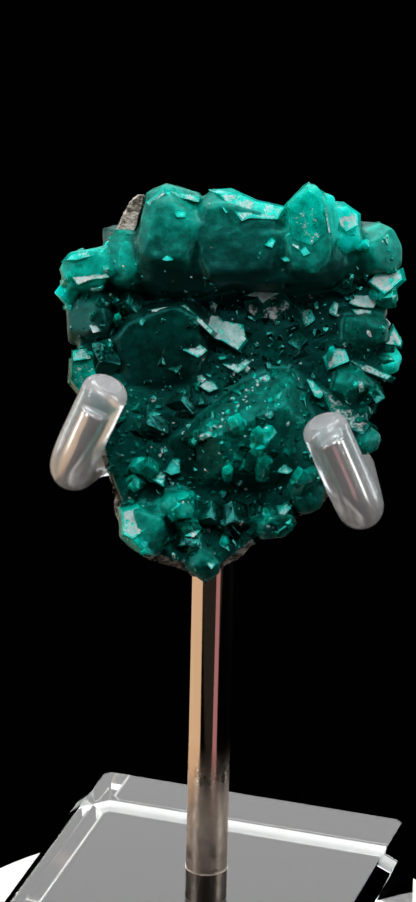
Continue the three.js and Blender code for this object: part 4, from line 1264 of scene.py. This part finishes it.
def rock_finish():
    finish = Finish("host_rock")
    layered = finish.place((1, 1, 2.6))
    grain = finish.noise(layered, 800, 8, 0.8)
    grain = finish.math("ADD", grain, finish.range(finish.noise(finish.place(), 190, 5, 0.6), -0.14, 0.14))
    colour = finish.ramp(grain, [
        (0.4, (0.02, 0.015, 0.012)), (0.47, (0.14, 0.11, 0.085)), (0.52, (0.42, 0.37, 0.31)),
        (0.59, (0.8, 0.75, 0.68)),
    ])
    finish.feed(Base_Color=colour)
    finish.set(Roughness=0.8)
    finish.bump(grain, 1.0, 0.0006)
    return finish.material


def acrylic_finish():
    finish = Finish("clear_acrylic")
    where = finish.place()
    finish.set(Base_Color=(0.97, 0.99, 0.985, 1), Transmission_Weight=1.0, IOR=1.49)
    finish.feed(Roughness=finish.range(finish.noise(where, 120, 4), 0.01, 0.05))
    return finish.material


def metal_finish():
    """Polished metal, dull where the post nears the block and brown there as a painted reflection of the warm
    surroundings.
    """
    finish = Finish("polished_metal")
    where = finish.place()
    apart = finish.node("ShaderNodeSeparateXYZ")
    finish.link(where, apart.inputs["Vector"])
    low = finish.range(apart.outputs["Z"], 1, 0, 0.017, 0.0225)
    spots = finish.range(finish.noise(where, 900, 6, 0.7), 0.55, 1, 0.4, 0.6)
    dull_with_painted_reflection = finish.math("MULTIPLY", low, spots)
    colour_with_painted_reflection = finish.ramp(dull_with_painted_reflection, [(0, (0.78, 0.7, 0.64)), (0.5, (0.7, 0.58, 0.49)), (1, (0.62, 0.5, 0.42))])
    finish.feed(Base_Color=colour_with_painted_reflection)
    finish.set(Metallic=1.0)
    streaks = finish.range(finish.noise(finish.place((1, 1, 0.04)), 5200, 4, 0.6), 0.06, 0.13)
    finish.feed(Roughness=finish.add_share(streaks, dull_with_painted_reflection, 0.42))
    finish.bump(spots, 0.02, 0.00003)
    return finish.material


def tube_finish():
    finish = Finish("soft_clear_tube")
    where = finish.place()
    finish.set(Base_Color=(0.93, 0.97, 1.0, 1), Transmission_Weight=0.8, IOR=1.5)
    cut = finish.node("ShaderNodeAttribute", attribute_name="cut_end").outputs["Fac"]
    cloudy = finish.range(finish.noise(where, 700, 4), 0.16, 0.27)
    finish.feed(Roughness=finish.add_share(cloudy, cut, 0.35))
    finish.bump(finish.noise(where, 500, 3), 0.1, 0.0001)
    return finish.material


def floor_finish():
    finish = Finish("pale_floor")
    finish.set(Base_Color=(0.8, 0.8, 0.79, 1), Roughness=0.6)
    return finish.material


# Putting it together

FLOOR_RADIUS = 25


def dress(piece, material, slot, *nodes):
    piece.data.materials.clear()
    piece.data.materials.append(material)
    for polygon in piece.data.polygons:
        polygon.material_index = 0
    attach(piece, "root")
    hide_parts(*nodes)


def make_floor():
    select_none()
    bpy.ops.mesh.primitive_cylinder_add(vertices=128, radius=FLOOR_RADIUS, depth=2, location=(0, 0, -1))
    bpy.ops.object.transform_apply(location=True, rotation=True, scale=True)
    floor = finished(bpy.context.object, "floor", Matrix.Identity(4))
    floor.data.materials.append(floor_finish())


make_camera()
make_lights()
make_world()
make_floor()

crystals = finished(make_crystals(), "crystals", STONE)
smooth(crystals, 34)
dress(crystals, dioptase_finish(), "dioptase", "dioptase_crystals")

rock = finished(make_rock(), "rock", STONE)
smooth(rock, 40)
dress(rock, rock_finish(), "host_rock", "matrix_rock")

turned = Matrix.Rotation(BASE["yaw"], 4, "Z")
base = finished(make_base(), "clear_block", turned)
dress(base, acrylic_finish(), "clear_acrylic", "base_block")

metal = metal_finish()
post = finished(make_post(), "metal_post", Matrix.Identity(4))
smooth(post, 15)
dress(post, metal, "polished_metal", "post")

tube = tube_finish()
for side, arm in ARMS.items():
    wire = finished(make_wire(arm), f"wire_{side}", Matrix.Identity(4))
    smooth(wire, 40)
    dress(wire, metal, "polished_metal", f"arm_wire_{side}")
    sleeve = finished(make_sleeve(arm), f"sleeve_{side}", Matrix.Identity(4))
    smooth(sleeve, 40)
    dress(sleeve, tube, "soft_clear_tube", f"arm_sleeve_{side}")
